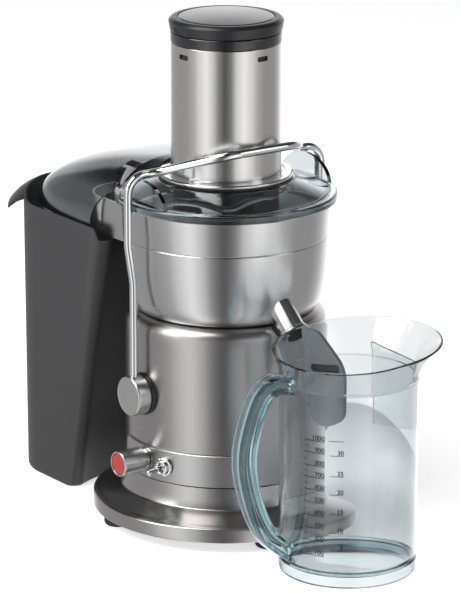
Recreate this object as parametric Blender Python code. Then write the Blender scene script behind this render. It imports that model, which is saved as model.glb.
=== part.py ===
"""Centrifugal juicer with a pulp bin, a locking arm and a juice jug.

The machine axis is the motor's axis. +X runs from the pulp bin to the jug, -Y is the side with the
control panel's switch end, +Z is up and the floor is at z = 0. Every piece is drawn in machine
coordinates and hangs from the empty machine_axis, which shifts the whole set so that the origin
lies under the middle of its bounding box. Sizes are in metres.
"""
import math

import bmesh
import bpy
from mathutils import Matrix, Vector

# ---- fits -------------------------------------------------------------------------------------
GAP = 0.0003            # between faces that touch
RUN_GAP = 0.0006        # between sliding cylinders
SEGMENTS = 40           # around large round pieces
MID_SEGMENTS = 24       # around medium round pieces
SMALL_SEGMENTS = 16     # around small round pieces

# ---- base and motor housing -------------------------------------------------------------------
FOOT_RADIUS = 0.0115
FOOT_CIRCLE = 0.0955
FOOT_TURN = math.radians(-104.0)
FOOT_COUNT = 4
UNDERSIDE_Z = 0.009
SKIRT_RADIUS = 0.1102
SKIRT_TOP_Z = 0.0215
SKIRT_WALL = 0.0028
RIDGE_RADIUS = 0.0875
RIDGE_Z = 0.0300
BARREL_RADIUS = 0.0830
BARREL_FOOT_Z = 0.0470
BARREL_WALL = 0.0020
DECK_Z = 0.1795
DECK_THICKNESS = 0.0025
PLATE_THICKNESS = 0.0025

# ---- control panel ----------------------------------------------------------------------------
PANEL_LOW_Z = 0.0475
PANEL_HIGH_Z = 0.0745
PANEL_THICKNESS = 0.0013
PANEL_START = math.radians(-20.0)   # measured from -Y toward +X
PANEL_END = math.radians(66.0)
PANEL_CORNER = 0.006
BUTTON_TURN = math.radians(2.0)
BUTTON_Z = 0.0625
BUTTON_RADIUS = 0.0106
BUTTON_REACH = 0.1110
BUTTON_TRAVEL = 0.003
TOGGLE_TURN = math.radians(18.5)
TOGGLE_Z = 0.0610
TOGGLE_REACH = 0.1080

# ---- locking arm ------------------------------------------------------------------------------
PIVOT_Z = 0.1171
PIN_RADIUS = 0.0040
BOSS_RADIUS = 0.0175
BOSS_THICKNESS = 0.0016
KNOB_RADIUS = 0.0165
KNOB_THICKNESS = 0.0127
ROD_RADIUS = 0.0035
LEG_JOG_LOW_Z = 0.212
LEG_JOG_HIGH_Z = 0.244
LEG_JOG = 0.0052
BAR_Z = 0.3008
BAR_CORNER = 0.015
BOW_REACH = 0.052
BOW_HALF = 0.036
BOW_START = 0.070
BOW_RISE = 0.37

# ---- filter bowl ------------------------------------------------------------------------------
BOWL_FLOOR_RADIUS = 0.0752
BOWL_GROOVE_RADIUS = 0.0844
BOWL_GROOVE_Z = 0.2417
BOWL_RIM_RADIUS = 0.0858
BOWL_RIM_Z = 0.2700
BOWL_WALL = 0.0016
NECK_HALF = 0.066
NECK_END = 0.119
NECK_TOP_Z = 0.262
NECK_FLOOR_Z = 0.2312
NECK_CORNER = 0.034
SPOUT_RADIUS = 0.0106
SPOUT_WALL = 0.0014
SPOUT_END = Vector((0.0965, 0.0, 0.1756))
SPOUT_ANGLE = math.radians(41.3)    # below the horizontal
SPOUT_LENGTH = 0.030
SPOUT_NOTCH_GAP = 0.0035
COLLAR_WALL = 0.0013
COLLAR_LENGTH = 0.005
COLLAR_OVERHANG = 0.0010

# ---- cover and feed chute ---------------------------------------------------------------------
LID_RADIUS = 0.0913
LID_RIM_Z = 0.2771
LID_TOP_Z = 0.2885
LID_TOP_RADIUS = 0.0575
LID_WALL = 0.0023
DUCT_HALF = 0.0727
DUCT_CREST_X = -0.062
DUCT_END = 0.2175
DUCT_FOOT_Z = 0.2345
DUCT_TOP_Z = 0.2960
DUCT_WALL = 0.0024
ARCH_FOOT_X = -0.092
ARCH_TOP_X = -0.060
EAR_HALF = 0.032
EAR_UNDER_BAR = 0.0009
EAR_INSIDE = 0.0803
EAR_THICKNESS = 0.0036
CHUTE_RADIUS = 0.0434
CHUTE_WALL = 0.0024
CHUTE_FOOT_Z = 0.2220
CHUTE_SEAT_RADIUS = 0.0545
SLEEVE_WALL = 0.0012
SLEEVE_TOP_Z = 0.4012
SLEEVE_RING_RADIUS = 0.0555
SLEEVE_RING_HEIGHT = 0.0024
SLOT_TURN = math.radians(5.0)
SLOT_WIDTH = 0.0105
SLOT_HEIGHT = 0.0042
SLOT_DROP = 0.0080
CHUTE_RING_HEIGHT = 0.0085

# ---- pusher -----------------------------------------------------------------------------------
PUSHER_WALL = 0.0020
PUSHER_FOOT_Z = 0.2260
CAP_RADIUS = 0.0469
CAP_FOOT_RADIUS = 0.0456
CAP_TOP_Z = 0.4212
CAP_DISC_RADIUS = 0.0395
DISC_CROWN = 0.0018

# ---- drive and basket -------------------------------------------------------------------------
SHAFT_RADIUS = 0.0050
SHAFT_FOOT_Z = 0.0400
SHAFT_TOP_Z = 0.1957
BEARING_RADIUS = 0.0110
FRAME_RADIUS = 0.0500
FRAME_WALL = 0.0025
FRAME_FOOT_Z = 0.0440
STATOR_INSIDE = 0.0345
STATOR_LOW_Z = 0.0840
STATOR_HIGH_Z = 0.1300
ARMATURE_RADIUS = 0.0335
COUPLING_RADIUS = 0.0140
COUPLING_LOW_Z = 0.1855
COUPLING_HIGH_Z = 0.1980
FAN_RADIUS = 0.0440
FAN_BLADES = 12
HUB_RADIUS = 0.0240
HUB_LOW_Z = 0.1880
HUB_HIGH_Z = 0.2010
BASKET_FLOOR_RADIUS = 0.0385
BASKET_RIM_RADIUS = 0.0775
BASKET_RIM_Z = 0.2580
BASKET_WALL = 0.0018
GRATING_RADIUS = 0.0340

# ---- pulp bin ---------------------------------------------------------------------------------
BIN_HALF = 0.0766
BIN_END = 0.222
BIN_RIM_Z = 0.2372
BIN_RIM_RISE = 0.0120
BIN_NEAR_RIM_DROP = 0.0105
BIN_RIM_RAMP = 0.0030
BIN_CORNER = 0.050
BIN_NEAR_CORNER = 0.0105
BIN_HUG_FOOT = 0.1350
BIN_HUG_RIM = 0.0975
BIN_WALL = 0.0026
BIN_DRAFT = 0.0012
BIN_FLOOR = 0.0030
LIP_REACH = 0.0135
LIP_DROP = 0.0105
LIP_THICKNESS = 0.0024
LIP_START = math.radians(32.0)      # round each outer corner from the side wall

# ---- jug --------------------------------------------------------------------------------------
JUG_X = 0.1675
JUG_RADIUS = 0.0555
JUG_WALL = 0.0024
JUG_FLOOR = 0.0040
JUG_SHOULDER_Z = 0.1620
JUG_RIM_Z = 0.1842
JUG_RIM_RADIUS = 0.0610
JUG_RIM_TILT = 0.0055
JUG_LIP_REACH = 0.0165
JUG_TURN = math.radians(85.0)       # the lip's direction, from +X toward +Y
JUG_LIP_SPREAD = math.radians(85.0)
HANDLE_WIDTH = 0.0190
HANDLE_DEPTH = 0.0140
HANDLE_REACH = 0.0960
SEPARATOR_OFFSET = 0.0410
SEPARATOR_LOW_Z = 0.1210
SEPARATOR_THICKNESS = 0.0020
GUIDE_THICKNESS = 0.0030
GUIDE_Y = -0.0030

# ---- derived places ---------------------------------------------------------------------------
BOWL_FLOOR_Z = DECK_Z + 0.0005
SPOUT_AXIS = Vector((math.cos(SPOUT_ANGLE), 0.0, -math.sin(SPOUT_ANGLE)))
BOSS_FACE = BARREL_RADIUS + GAP + BOSS_THICKNESS
KNOB_FACE = BOSS_FACE + GAP + KNOB_THICKNESS
LEG_Y = BOSS_FACE + GAP + KNOB_THICKNESS / 2
PANEL_FACE = BARREL_RADIUS + GAP + PANEL_THICKNESS
SLEEVE_RADIUS = CHUTE_RADIUS + RUN_GAP + SLEEVE_WALL
CHUTE_SEAT_Z = LID_TOP_Z + GAP
SLEEVE_FOOT_Z = CHUTE_SEAT_Z + 0.0015 + GAP
CHUTE_RING_Z = SLEEVE_TOP_Z + GAP
CAP_FOOT_Z = CHUTE_RING_Z + CHUTE_RING_HEIGHT + GAP
PUSHER_RADIUS = CHUTE_RADIUS - CHUTE_WALL - RUN_GAP
DECK_UNDERSIDE_Z = DECK_Z - DECK_THICKNESS
LID_FOOT_Z = BOWL_RIM_Z + GAP
EAR_TOP_Z = BAR_Z - ROD_RADIUS - EAR_UNDER_BAR
FRAME_X = (BIN_END + LIP_REACH - JUG_X - JUG_RIM_RADIUS) / 2

STEEL = ((0.62, 0.61, 0.59), 0.32, 1.0)
BRIGHT_STEEL = ((0.75, 0.75, 0.74), 0.15, 1.0)
CHARCOAL = ((0.045, 0.045, 0.05), 0.55, 0.0)
BLACK = ((0.012, 0.012, 0.013), 0.45, 0.0)
RUBBER = ((0.02, 0.02, 0.02), 0.8, 0.0)
CLEAR_COVER = ((0.45, 0.55, 0.60), 0.12, 0.0)
CLEAR_JUG = ((0.62, 0.80, 0.84), 0.08, 0.0)
COPPER = ((0.72, 0.36, 0.20), 0.35, 1.0)
RED = ((0.55, 0.05, 0.04), 0.35, 0.0)
GREEN = ((0.05, 0.20, 0.09), 0.5, 0.0)


# ---- modelling helpers ------------------------------------------------------------------------
def clear_scene():
    for obj in list(bpy.data.objects):
        bpy.data.objects.remove(obj, do_unlink=True)


def empty(name, parent=None, location=(0, 0, 0), rotation=(0, 0, 0)):
    obj = bpy.data.objects.new(name, None)
    obj.location = location
    obj.rotation_euler = rotation
    obj.parent = parent
    bpy.context.collection.objects.link(obj)
    return obj


def material(name, finish):
    colour, roughness, metallic = finish
    mat = bpy.data.materials.new(name)
    mat.use_nodes = True
    shader = mat.node_tree.nodes["Principled BSDF"]
    shader.inputs["Base Color"].default_value = (*colour, 1.0)
    shader.inputs["Roughness"].default_value = roughness
    shader.inputs["Metallic"].default_value = metallic
    mat.diffuse_color = (*colour, 1.0)
    return mat


def finish_mesh(bm, name, parent, finish, origin=(0, 0, 0)):
    """Turn a closed bmesh into a named object; a piece with no finish is a cutter."""
    bmesh.ops.remove_doubles(bm, verts=bm.verts, dist=1e-6)
    bmesh.ops.recalc_face_normals(bm, faces=bm.faces)
    bmesh.ops.translate(bm, verts=bm.verts, vec=-Vector(origin))
    mesh = bpy.data.meshes.new(name)
    bm.to_mesh(mesh)
    bm.free()
    mesh.shade_smooth()
    mesh.set_sharp_from_angle(angle=math.radians(35))
    obj = bpy.data.objects.new(name, mesh)
    obj.parent = parent
    obj.location = Vector(origin)
    bpy.context.collection.objects.link(obj)
    if finish is None:
        obj.hide_render = True
        obj.display_type = "WIRE"
    else:
        mesh.materials.append(material(name, finish))
    return obj


def turned(name, profile, parent, finish=None, segments=SEGMENTS):
    """Spin a profile of (radius, height) points about Z; it is a loop, or runs from axis to axis."""
    bm = bmesh.new()
    verts = [bm.verts.new((radius, 0.0, height)) for radius, height in profile]
    edges = [bm.edges.new(pair) for pair in zip(verts, verts[1:])]
    if profile[0][0] > 0 or profile[-1][0] > 0:
        edges.append(bm.edges.new((verts[-1], verts[0])))
    bmesh.ops.spin(bm, geom=verts + edges, cent=(0, 0, 0), axis=(0, 0, 1),
                   angle=math.tau, steps=segments)
    return finish_mesh(bm, name, parent, finish)


def ring(name, inside, outside, low, high, parent, finish=None, segments=SEGMENTS):
    profile = [(inside, low), (outside, low), (outside, high), (inside, high)]
    return turned(name, profile, parent, finish, segments)


def disc(name, radius, low, high, parent, finish=None, segments=SEGMENTS):
    profile = [(0, low), (radius, low), (radius, high), (0, high)]
    return turned(name, profile, parent, finish, segments)


def prism(name, outline, low, high, parent, finish=None, frame=Matrix.Identity(4)):
    """Extrude an outline of (x, y) points from low to high along Z, then place it by frame."""
    bm = bmesh.new()
    face = bm.faces.new([bm.verts.new((x, y, low)) for x, y in outline])
    grown = bmesh.ops.extrude_face_region(bm, geom=[face])
    moved = [item for item in grown["geom"] if isinstance(item, bmesh.types.BMVert)]
    bmesh.ops.translate(bm, verts=moved, vec=(0, 0, high - low))
    bmesh.ops.transform(bm, matrix=frame, verts=bm.verts)
    return finish_mesh(bm, name, parent, finish)


def lofted(name, rings, parent, finish=None):
    """Skin a row of equal closed loops and cap the first and the last."""
    bm = bmesh.new()
    loops = [[bm.verts.new(point) for point in loop] for loop in rings]
    for near, far in zip(loops, loops[1:]):
        for i in range(len(near)):
            j = (i + 1) % len(near)
            bm.faces.new((near[i], near[j], far[j], far[i]))
    bm.faces.new(reversed(loops[0]))
    bm.faces.new(loops[-1])
    return finish_mesh(bm, name, parent, finish)


def box(name, centre, size, parent, finish=None, turn=0.0):
    bm = bmesh.new()
    place = Matrix.Translation(centre) @ Matrix.Rotation(turn, 4, "Z") @ Matrix.Diagonal((*size, 1))
    bmesh.ops.create_cube(bm, size=1.0, matrix=place)
    return finish_mesh(bm, name, parent, finish)


def boolean(obj, other, operation="DIFFERENCE"):
    modifier = obj.modifiers.new(operation.title() + "_" + other.name, "BOOLEAN")
    modifier.operation = operation
    modifier.solver = "EXACT"
    modifier.object = other


def arc(centre, radius, start, end, steps):
    angles = [start + (end - start) * i / steps for i in range(steps + 1)]
    return [(centre[0] + radius * math.cos(a), centre[1] + radius * math.sin(a)) for a in angles]


def frame_along(origin, direction, side=Vector((0, 1, 0))):
    """A frame at origin whose Z runs along direction and whose Y is side."""
    z = direction.normalized()
    x = side.cross(z).normalized()
    y = z.cross(x)
    turn = Matrix((x, y, z)).transposed().to_4x4()
    return Matrix.Translation(origin) @ turn


def tube(name, frame, inside, outside, low, high, parent, finish=None, segments=MID_SEGMENTS):
    """A pipe along a frame's Z; with no inside it is a rod."""
    if inside > 0:
        obj = ring(name, inside, outside, low, high, parent, finish, segments)
    else:
        obj = disc(name, outside, low, high, parent, finish, segments)
    obj.data.transform(frame)
    return obj


def radial_empty(name, parent, turn, height):
    """An empty on the machine axis whose Z points outward at turn, measured from -Y toward +X."""
    return empty(name, parent, (0, 0, height), (math.pi / 2, 0, turn))


def rounded_path(corners, steps=5):
    """Points along straight runs whose corners (point, radius) are rounded."""
    path = [corners[0][0]]
    for (before, _), (corner, radius), (after, _) in zip(corners, corners[1:], corners[2:]):
        back = (before - corner).normalized()
        ahead = (after - corner).normalized()
        half = back.angle(ahead) / 2
        reach = radius / math.tan(half)
        centre = corner + (back + ahead).normalized() * (radius / math.sin(half))
        start = corner + back * reach - centre
        end = corner + ahead * reach - centre
        turn = start.rotation_difference(end)
        for i in range(steps + 1):
            spoke = start.copy()
            spoke.rotate(turn.to_matrix().to_quaternion().slerp(turn, 1.0) if i == steps
                         else Matrix.Identity(3).to_quaternion().slerp(turn, i / steps))
            path.append(centre + spoke)
    path.append(corners[-1][0])
    return path


# ---- base -------------------------------------------------------------------------------------
def build_base(root):
    inner = SKIRT_RADIUS - SKIRT_WALL
    skirt = [
        (inner, UNDERSIDE_Z), (SKIRT_RADIUS - 0.0006, UNDERSIDE_Z),
        (SKIRT_RADIUS, UNDERSIDE_Z + 0.0006), (SKIRT_RADIUS, SKIRT_TOP_Z - 0.0015),
        (SKIRT_RADIUS - 0.0015, SKIRT_TOP_Z), (SKIRT_RADIUS - 0.0060, SKIRT_TOP_Z + 0.0015),
        (RIDGE_RADIUS + 0.0010, RIDGE_Z - 0.0006), (RIDGE_RADIUS, RIDGE_Z),
        (BARREL_RADIUS + 0.0022, RIDGE_Z + 0.0065), (BARREL_RADIUS + 0.0003, BARREL_FOOT_Z - GAP),
        (BARREL_RADIUS - BARREL_WALL - 0.0006, BARREL_FOOT_Z - GAP),
        (BARREL_RADIUS - BARREL_WALL - 0.0006, RIDGE_Z + 0.0040),
        (RIDGE_RADIUS - 0.0030, RIDGE_Z - 0.0030), (inner - 0.0040, SKIRT_TOP_Z - 0.0015),
        (inner, SKIRT_TOP_Z - 0.0030),
    ]
    turned("base_skirt", skirt, root, STEEL)
    disc("base_plate", inner - GAP, UNDERSIDE_Z, UNDERSIDE_Z + PLATE_THICKNESS, root, CHARCOAL)
    for i in range(FOOT_COUNT):
        angle = FOOT_TURN + math.tau * i / FOOT_COUNT
        place = Matrix.Translation((FOOT_CIRCLE * math.cos(angle), FOOT_CIRCLE * math.sin(angle), 0))
        profile = [(0, 0), (FOOT_RADIUS - 0.0015, 0), (FOOT_RADIUS, 0.0015),
                   (FOOT_RADIUS, UNDERSIDE_Z - GAP), (0, UNDERSIDE_Z - GAP)]
        foot = turned("foot_%d" % (i + 1), profile, root, RUBBER, SMALL_SEGMENTS)
        foot.data.transform(place)
    gland_turn = math.radians(230.0)
    gland = radial_empty("gland_direction", root, gland_turn, (UNDERSIDE_Z + SKIRT_TOP_Z) / 2)
    start = SKIRT_RADIUS + GAP
    profile = [(0, start), (0.0052, start), (0.0052, start + 0.004), (0.0040, start + 0.009),
               (0, start + 0.009)]
    turned("cord_gland", profile, gland, RUBBER, SMALL_SEGMENTS)
    board_z = UNDERSIDE_Z + PLATE_THICKNESS + GAP
    board = box("speed_board", (-0.020, 0.045, board_z + 0.0008), (0.060, 0.036, 0.0016), root, GREEN)
    heatsink = box("board_heatsink", (-0.030, 0.045, board_z + 0.0016 + GAP + 0.006),
                   (0.020, 0.024, 0.012), root, BRIGHT_STEEL)
    return board, heatsink


def build_housing(root):
    inside = BARREL_RADIUS - BARREL_WALL
    outer = [(0, DECK_Z), (BARREL_RADIUS - 0.0095, DECK_Z), (BARREL_RADIUS - 0.0040, DECK_Z - 0.0020),
             (BARREL_RADIUS - 0.0010, DECK_Z - 0.0060), (BARREL_RADIUS, DECK_Z - 0.0115),
             (BARREL_RADIUS, BARREL_FOOT_Z), (0, BARREL_FOOT_Z)]
    inner = [(0, DECK_UNDERSIDE_Z), (inside - 0.0090, DECK_UNDERSIDE_Z),
             (inside - 0.0035, DECK_UNDERSIDE_Z - 0.0020), (inside - 0.0010, DECK_UNDERSIDE_Z - 0.0055),
             (inside, DECK_UNDERSIDE_Z - 0.0100), (inside, BARREL_FOOT_Z - 0.001),
             (0, BARREL_FOOT_Z - 0.001)]
    housing = turned("motor_housing", outer, root, STEEL)
    along = frame_along(SPOUT_END, SPOUT_AXIS)
    notch = SPOUT_RADIUS + SPOUT_NOTCH_GAP
    hollow = turned("housing_hollow", inner, root)
    boolean(hollow, tube("notch_wall", along, 0, notch + BARREL_WALL, -0.06, 0.02, root))
    boolean(housing, hollow)
    boolean(housing, tube("spout_notch", along, 0, notch, -0.06, 0.02, root))
    boolean(housing, disc("deck_bore", BEARING_RADIUS + GAP, DECK_UNDERSIDE_Z - 0.01, DECK_Z + 0.01, root,
                          None, MID_SEGMENTS))
    across = frame_along(Vector((0, -0.12, PIVOT_Z)), Vector((0, 1, 0)), Vector((1, 0, 0)))
    boolean(housing, tube("pin_bore", across, 0, PIN_RADIUS + GAP, 0, 0.24, root, None, SMALL_SEGMENTS))


def build_panel(root):
    """A curved plate with rounded corners that lies on the barrel."""
    inner = BARREL_RADIUS + GAP
    corner_turn = PANEL_CORNER / inner
    columns = []
    for i in range(5):
        bend = math.pi / 2 * i / 4
        columns.append((PANEL_START + corner_turn * (1 - math.sin(bend)), PANEL_CORNER * (1 - math.cos(bend))))
    columns.reverse()
    spans = 12
    width = PANEL_END - PANEL_START - 2 * corner_turn
    middle = [(PANEL_START + corner_turn + width * i / spans, 0.0) for i in range(1, spans)]
    ends = [(PANEL_END + PANEL_START - turn, inset) for turn, inset in reversed(columns)]
    rings = []
    for turn, inset in sorted(columns + middle + ends):
        low, high = PANEL_LOW_Z + inset, PANEL_HIGH_Z - inset
        loop = [(inner, low), (PANEL_FACE, low), (PANEL_FACE, high), (inner, high)]
        rings.append([Vector((r * math.sin(turn), -r * math.cos(turn), z)) for r, z in loop])
    lofted("control_panel", rings, root, STEEL)


def build_button(root):
    axis = radial_empty("button_axis", root, BUTTON_TURN, BUTTON_Z)
    collar = BUTTON_RADIUS - 0.0009 - RUN_GAP
    start = PANEL_FACE + GAP
    tube("power_bush", Matrix.Identity(4), 0.0055, collar, start, start + 0.009, axis, STEEL)
    back = start + BUTTON_TRAVEL + 0.0010
    inside = BUTTON_RADIUS - 0.0009
    cup = [(0, BUTTON_REACH - 0.0025), (inside - 0.0008, BUTTON_REACH - 0.0025),
           (inside - 0.0008, BUTTON_REACH), (inside + 0.0004, BUTTON_REACH),
           (BUTTON_RADIUS, BUTTON_REACH - 0.0006), (BUTTON_RADIUS, back), (inside, back),
           (inside, BUTTON_REACH - 0.0045), (0, BUTTON_REACH - 0.0045)]
    turned("power_button", cup, axis, BRIGHT_STEEL, MID_SEGMENTS)
    face = [(0, BUTTON_REACH - 0.0025 + GAP), (inside - 0.0008 - GAP, BUTTON_REACH - 0.0025 + GAP),
            (inside - 0.0008 - GAP, BUTTON_REACH - 0.0006), (0, BUTTON_REACH - 0.0002)]
    turned("power_button_cap", face, axis, RED, MID_SEGMENTS)


def build_toggle(root):
    axis = radial_empty("toggle_axis", root, TOGGLE_TURN, TOGGLE_Z)
    start = PANEL_FACE + GAP
    bush = [(0, start), (0.0080, start), (0.0080, start + 0.0022), (0.0060, start + 0.0026),
            (0.0060, start + 0.0060), (0.0042, start + 0.0060), (0.0024, start + 0.0016), (0, start + 0.0016)]
    turned("toggle_bush", bush, axis, BRIGHT_STEEL, MID_SEGMENTS)
    foot = start + 0.0016 + RUN_GAP
    pivot = empty("toggle_pivot", axis, (0, 0, foot + 0.0012))
    reach = TOGGLE_REACH - foot - 0.0012
    lever = [(0, -0.0009), (0.0012, -0.0009), (0.0015, 0.0010), (0.0017, 0.007), (0.0025, reach - 0.004),
             (0.0027, reach - 0.0022), (0.0020, reach - 0.0006), (0, reach)]
    turned("toggle_lever", lever, pivot, BRIGHT_STEEL, SMALL_SEGMENTS)


# ---- locking arm ------------------------------------------------------------------------------
def arm_corners():
    side = Vector((0, -LEG_Y, PIVOT_Z + 0.0085))
    low = Vector((0, -LEG_Y, LEG_JOG_LOW_Z))
    high = Vector((0, -LEG_Y - LEG_JOG, LEG_JOG_HIGH_Z))
    top = Vector((0, -LEG_Y - LEG_JOG, BAR_Z))
    start = Vector((0, -BOW_START, BAR_Z))
    bow = Vector((BOW_REACH, -BOW_HALF, BAR_Z + BOW_RISE * BOW_REACH))
    half = [(side, 0), (low, 0.05), (high, 0.05), (top, BAR_CORNER), (start, 0.018), (bow, 0.028)]
    mirror = [(Vector((p.x, -p.y, p.z)), radius) for p, radius in reversed(half)]
    return half + mirror


def build_arm(root):
    pivot = empty("arm_pivot", root, (0, 0, PIVOT_Z))
    curve = bpy.data.curves.new("locking_arm", "CURVE")
    curve.dimensions = "3D"
    curve.bevel_depth = ROD_RADIUS
    curve.bevel_resolution = 2
    curve.use_fill_caps = True
    path = rounded_path(arm_corners())
    spline = curve.splines.new("POLY")
    spline.points.add(len(path) - 1)
    for point, place in zip(spline.points, path):
        point.co = (*(place - pivot.location), 1.0)
    rod = bpy.data.objects.new("locking_arm", curve)
    rod.parent = pivot
    bpy.context.collection.objects.link(rod)
    curve.materials.append(material("locking_arm", BRIGHT_STEEL))
    for name, side in (("front", -1), ("rear", 1)):
        out = frame_along(Vector((0, 0, 0)), Vector((0, side, 0)), Vector((side, 0, 0)))
        near = BOSS_FACE + GAP
        knob = [(0, near), (KNOB_RADIUS - 0.0006, near), (KNOB_RADIUS, near + 0.0006),
                (KNOB_RADIUS, KNOB_FACE - 0.0012), (KNOB_RADIUS - 0.0012, KNOB_FACE), (0, KNOB_FACE)]
        knob = turned("arm_knob_" + name, knob, pivot, STEEL, MID_SEGMENTS)
        knob.data.transform(out)
        rod_bore = disc("rod_bore_" + name, ROD_RADIUS + GAP, 0.0075, 0.03, pivot, None, SMALL_SEGMENTS)
        rod_bore.data.transform(Matrix.Translation((0, side * LEG_Y, 0)))
        boolean(knob, rod_bore)
        pin_reach = near + 0.0045
        pin_bore = tube("knob_pin_bore_" + name, out, 0, PIN_RADIUS + GAP, near - 0.005, pin_reach + GAP, pivot,
                        None, SMALL_SEGMENTS)
        boolean(knob, pin_bore)
        at_pivot = Matrix.Translation((0, 0, PIVOT_Z)) @ out
        boss = tube("pivot_boss_" + name, at_pivot, PIN_RADIUS + GAP, BOSS_RADIUS, BARREL_RADIUS - 0.006,
                    BOSS_FACE, root, BLACK)
        barrel = disc("boss_seat_" + name, BARREL_RADIUS + GAP, PIVOT_Z - 0.03, PIVOT_Z + 0.03, root)
        boolean(boss, barrel)
        head = BARREL_RADIUS - BARREL_WALL - 0.0035
        pin = [(0, head - 0.003), (0.007, head - 0.003), (0.007, head), (PIN_RADIUS, head),
               (PIN_RADIUS, pin_reach), (0, pin_reach)]
        pin = turned("pivot_pin_" + name, pin, root, BRIGHT_STEEL, SMALL_SEGMENTS)
        pin.data.transform(at_pivot)


# ---- filter bowl ------------------------------------------------------------------------------
def bowl_profile(wall):
    low = BOWL_FLOOR_Z + wall
    return [
        (0, low), (BOWL_FLOOR_RADIUS - 0.0027 - wall, low), (BOWL_FLOOR_RADIUS - wall, low + 0.0014),
        (BOWL_FLOOR_RADIUS + 0.0040 - wall, BOWL_FLOOR_Z + 0.0095),
        (BOWL_FLOOR_RADIUS + 0.0066 - wall, BOWL_FLOOR_Z + 0.0250),
        (BOWL_GROOVE_RADIUS - 0.0010 - wall, BOWL_FLOOR_Z + 0.0430),
        (BOWL_GROOVE_RADIUS - wall, BOWL_GROOVE_Z),
        (BOWL_RIM_RADIUS - 0.0003 - wall, BOWL_RIM_Z - 0.0080),
    ]


def neck_outline(half, end, corner):
    start = (0.030, -half)
    bend = (corner - end, corner - half)
    low = arc(bend, corner, -math.pi / 2, -math.pi, 6)
    high = [(x, -y) for x, y in reversed(low)]
    return [start] + low + high + [(start[0], half)]


def arch_outline(clearance):
    """The side view of the space under the duct's arch, as (x, z)."""
    height = LID_FOOT_Z - clearance
    foot = ARCH_FOOT_X + clearance
    low = DUCT_FOOT_Z + 0.0035
    centre = Vector((ARCH_TOP_X, low))
    points = [(foot, 0.15), (foot, low)]
    for i in range(1, 7):
        turn = math.pi / 2 * i / 6
        points.append((centre.x - (centre.x - foot) * math.cos(turn), low + (height - low) * math.sin(turn)))
    return points + [(0.08, height), (0.08, 0.15)]


def build_bowl(root):
    outer = bowl_profile(0) + [(BOWL_RIM_RADIUS, BOWL_RIM_Z), (0, BOWL_RIM_Z)]
    inner = bowl_profile(BOWL_WALL) + [(BOWL_RIM_RADIUS - BOWL_WALL, BOWL_RIM_Z + 0.003),
                                       (0, BOWL_RIM_Z + 0.003)]
    bowl = turned("filter_bowl", outer, root, STEEL)
    boolean(bowl, prism("neck_block", neck_outline(NECK_HALF, NECK_END, NECK_CORNER), NECK_FLOOR_Z, NECK_TOP_Z,
                        root), "UNION")
    along = frame_along(SPOUT_END, SPOUT_AXIS)
    boolean(bowl, tube("spout_tube", along, 0, SPOUT_RADIUS, -SPOUT_LENGTH, 0, root), "UNION")
    boolean(bowl, turned("bowl_hollow", inner, root))
    hollow = neck_outline(NECK_HALF - BOWL_WALL, NECK_END - BOWL_WALL, NECK_CORNER - BOWL_WALL)
    boolean(bowl, prism("neck_hollow", hollow, NECK_FLOOR_Z + BOWL_WALL, NECK_TOP_Z + 0.02, root))
    boolean(bowl, tube("spout_bore", along, 0, SPOUT_RADIUS - SPOUT_WALL, 0.002 - SPOUT_LENGTH, 0.01, root))
    boolean(bowl, disc("bowl_bore", COUPLING_RADIUS + 0.003, BOWL_FLOOR_Z - 0.01, BOWL_FLOOR_Z + 0.01, root,
                       None, MID_SEGMENTS))
    inside = SPOUT_RADIUS + GAP
    tube("spout_collar", along, inside, inside + COLLAR_WALL, COLLAR_OVERHANG - COLLAR_LENGTH, COLLAR_OVERHANG,
         root, CLEAR_JUG)
    ring("drive_seal", SHAFT_RADIUS + RUN_GAP, COUPLING_RADIUS + 0.003 - GAP, DECK_Z + GAP,
         DECK_Z + 0.0040, root, RUBBER, MID_SEGMENTS)


# ---- cover ------------------------------------------------------------------------------------
def duct_section(x, inset):
    """One cross-section of the duct's dome, from one foot over the top to the other."""
    length = DUCT_END - inset + DUCT_CREST_X
    along = max(0.0, (DUCT_CREST_X - x) / length)
    half = (DUCT_HALF - inset) * (1 - along ** 4.5) ** (1 / 2.6)
    if x > DUCT_CREST_X:
        half -= 0.022 * (x - DUCT_CREST_X) / -DUCT_CREST_X
    height = (DUCT_TOP_Z - DUCT_FOOT_Z - inset) * (1 - along ** 1.9) ** 0.6
    points = []
    count = 14
    for i in range(count + 1):
        turn = math.pi * i / count
        wide = math.copysign(abs(math.cos(turn)) ** 0.62, -math.cos(turn))
        points.append(Vector((x, half * wide, DUCT_FOOT_Z + height * math.sin(turn) ** 0.85)))
    drop = Vector((0, 0, inset * 4))
    return [points[0] - drop] + points[1:-1] + [points[-1] - drop]


def duct_solid(name, start, inset, root):
    far = DUCT_CREST_X - (DUCT_END - inset + DUCT_CREST_X) * 0.992
    stations = [start]
    count = 9
    for i in range(count + 1):
        turn = math.pi / 2 * i / count
        stations.append(DUCT_CREST_X + (far - DUCT_CREST_X) * math.sin(turn))
    stations = sorted(set(round(x, 6) for x in stations), reverse=True)
    return lofted(name, [duct_section(x, inset) for x in stations], root)


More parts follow.
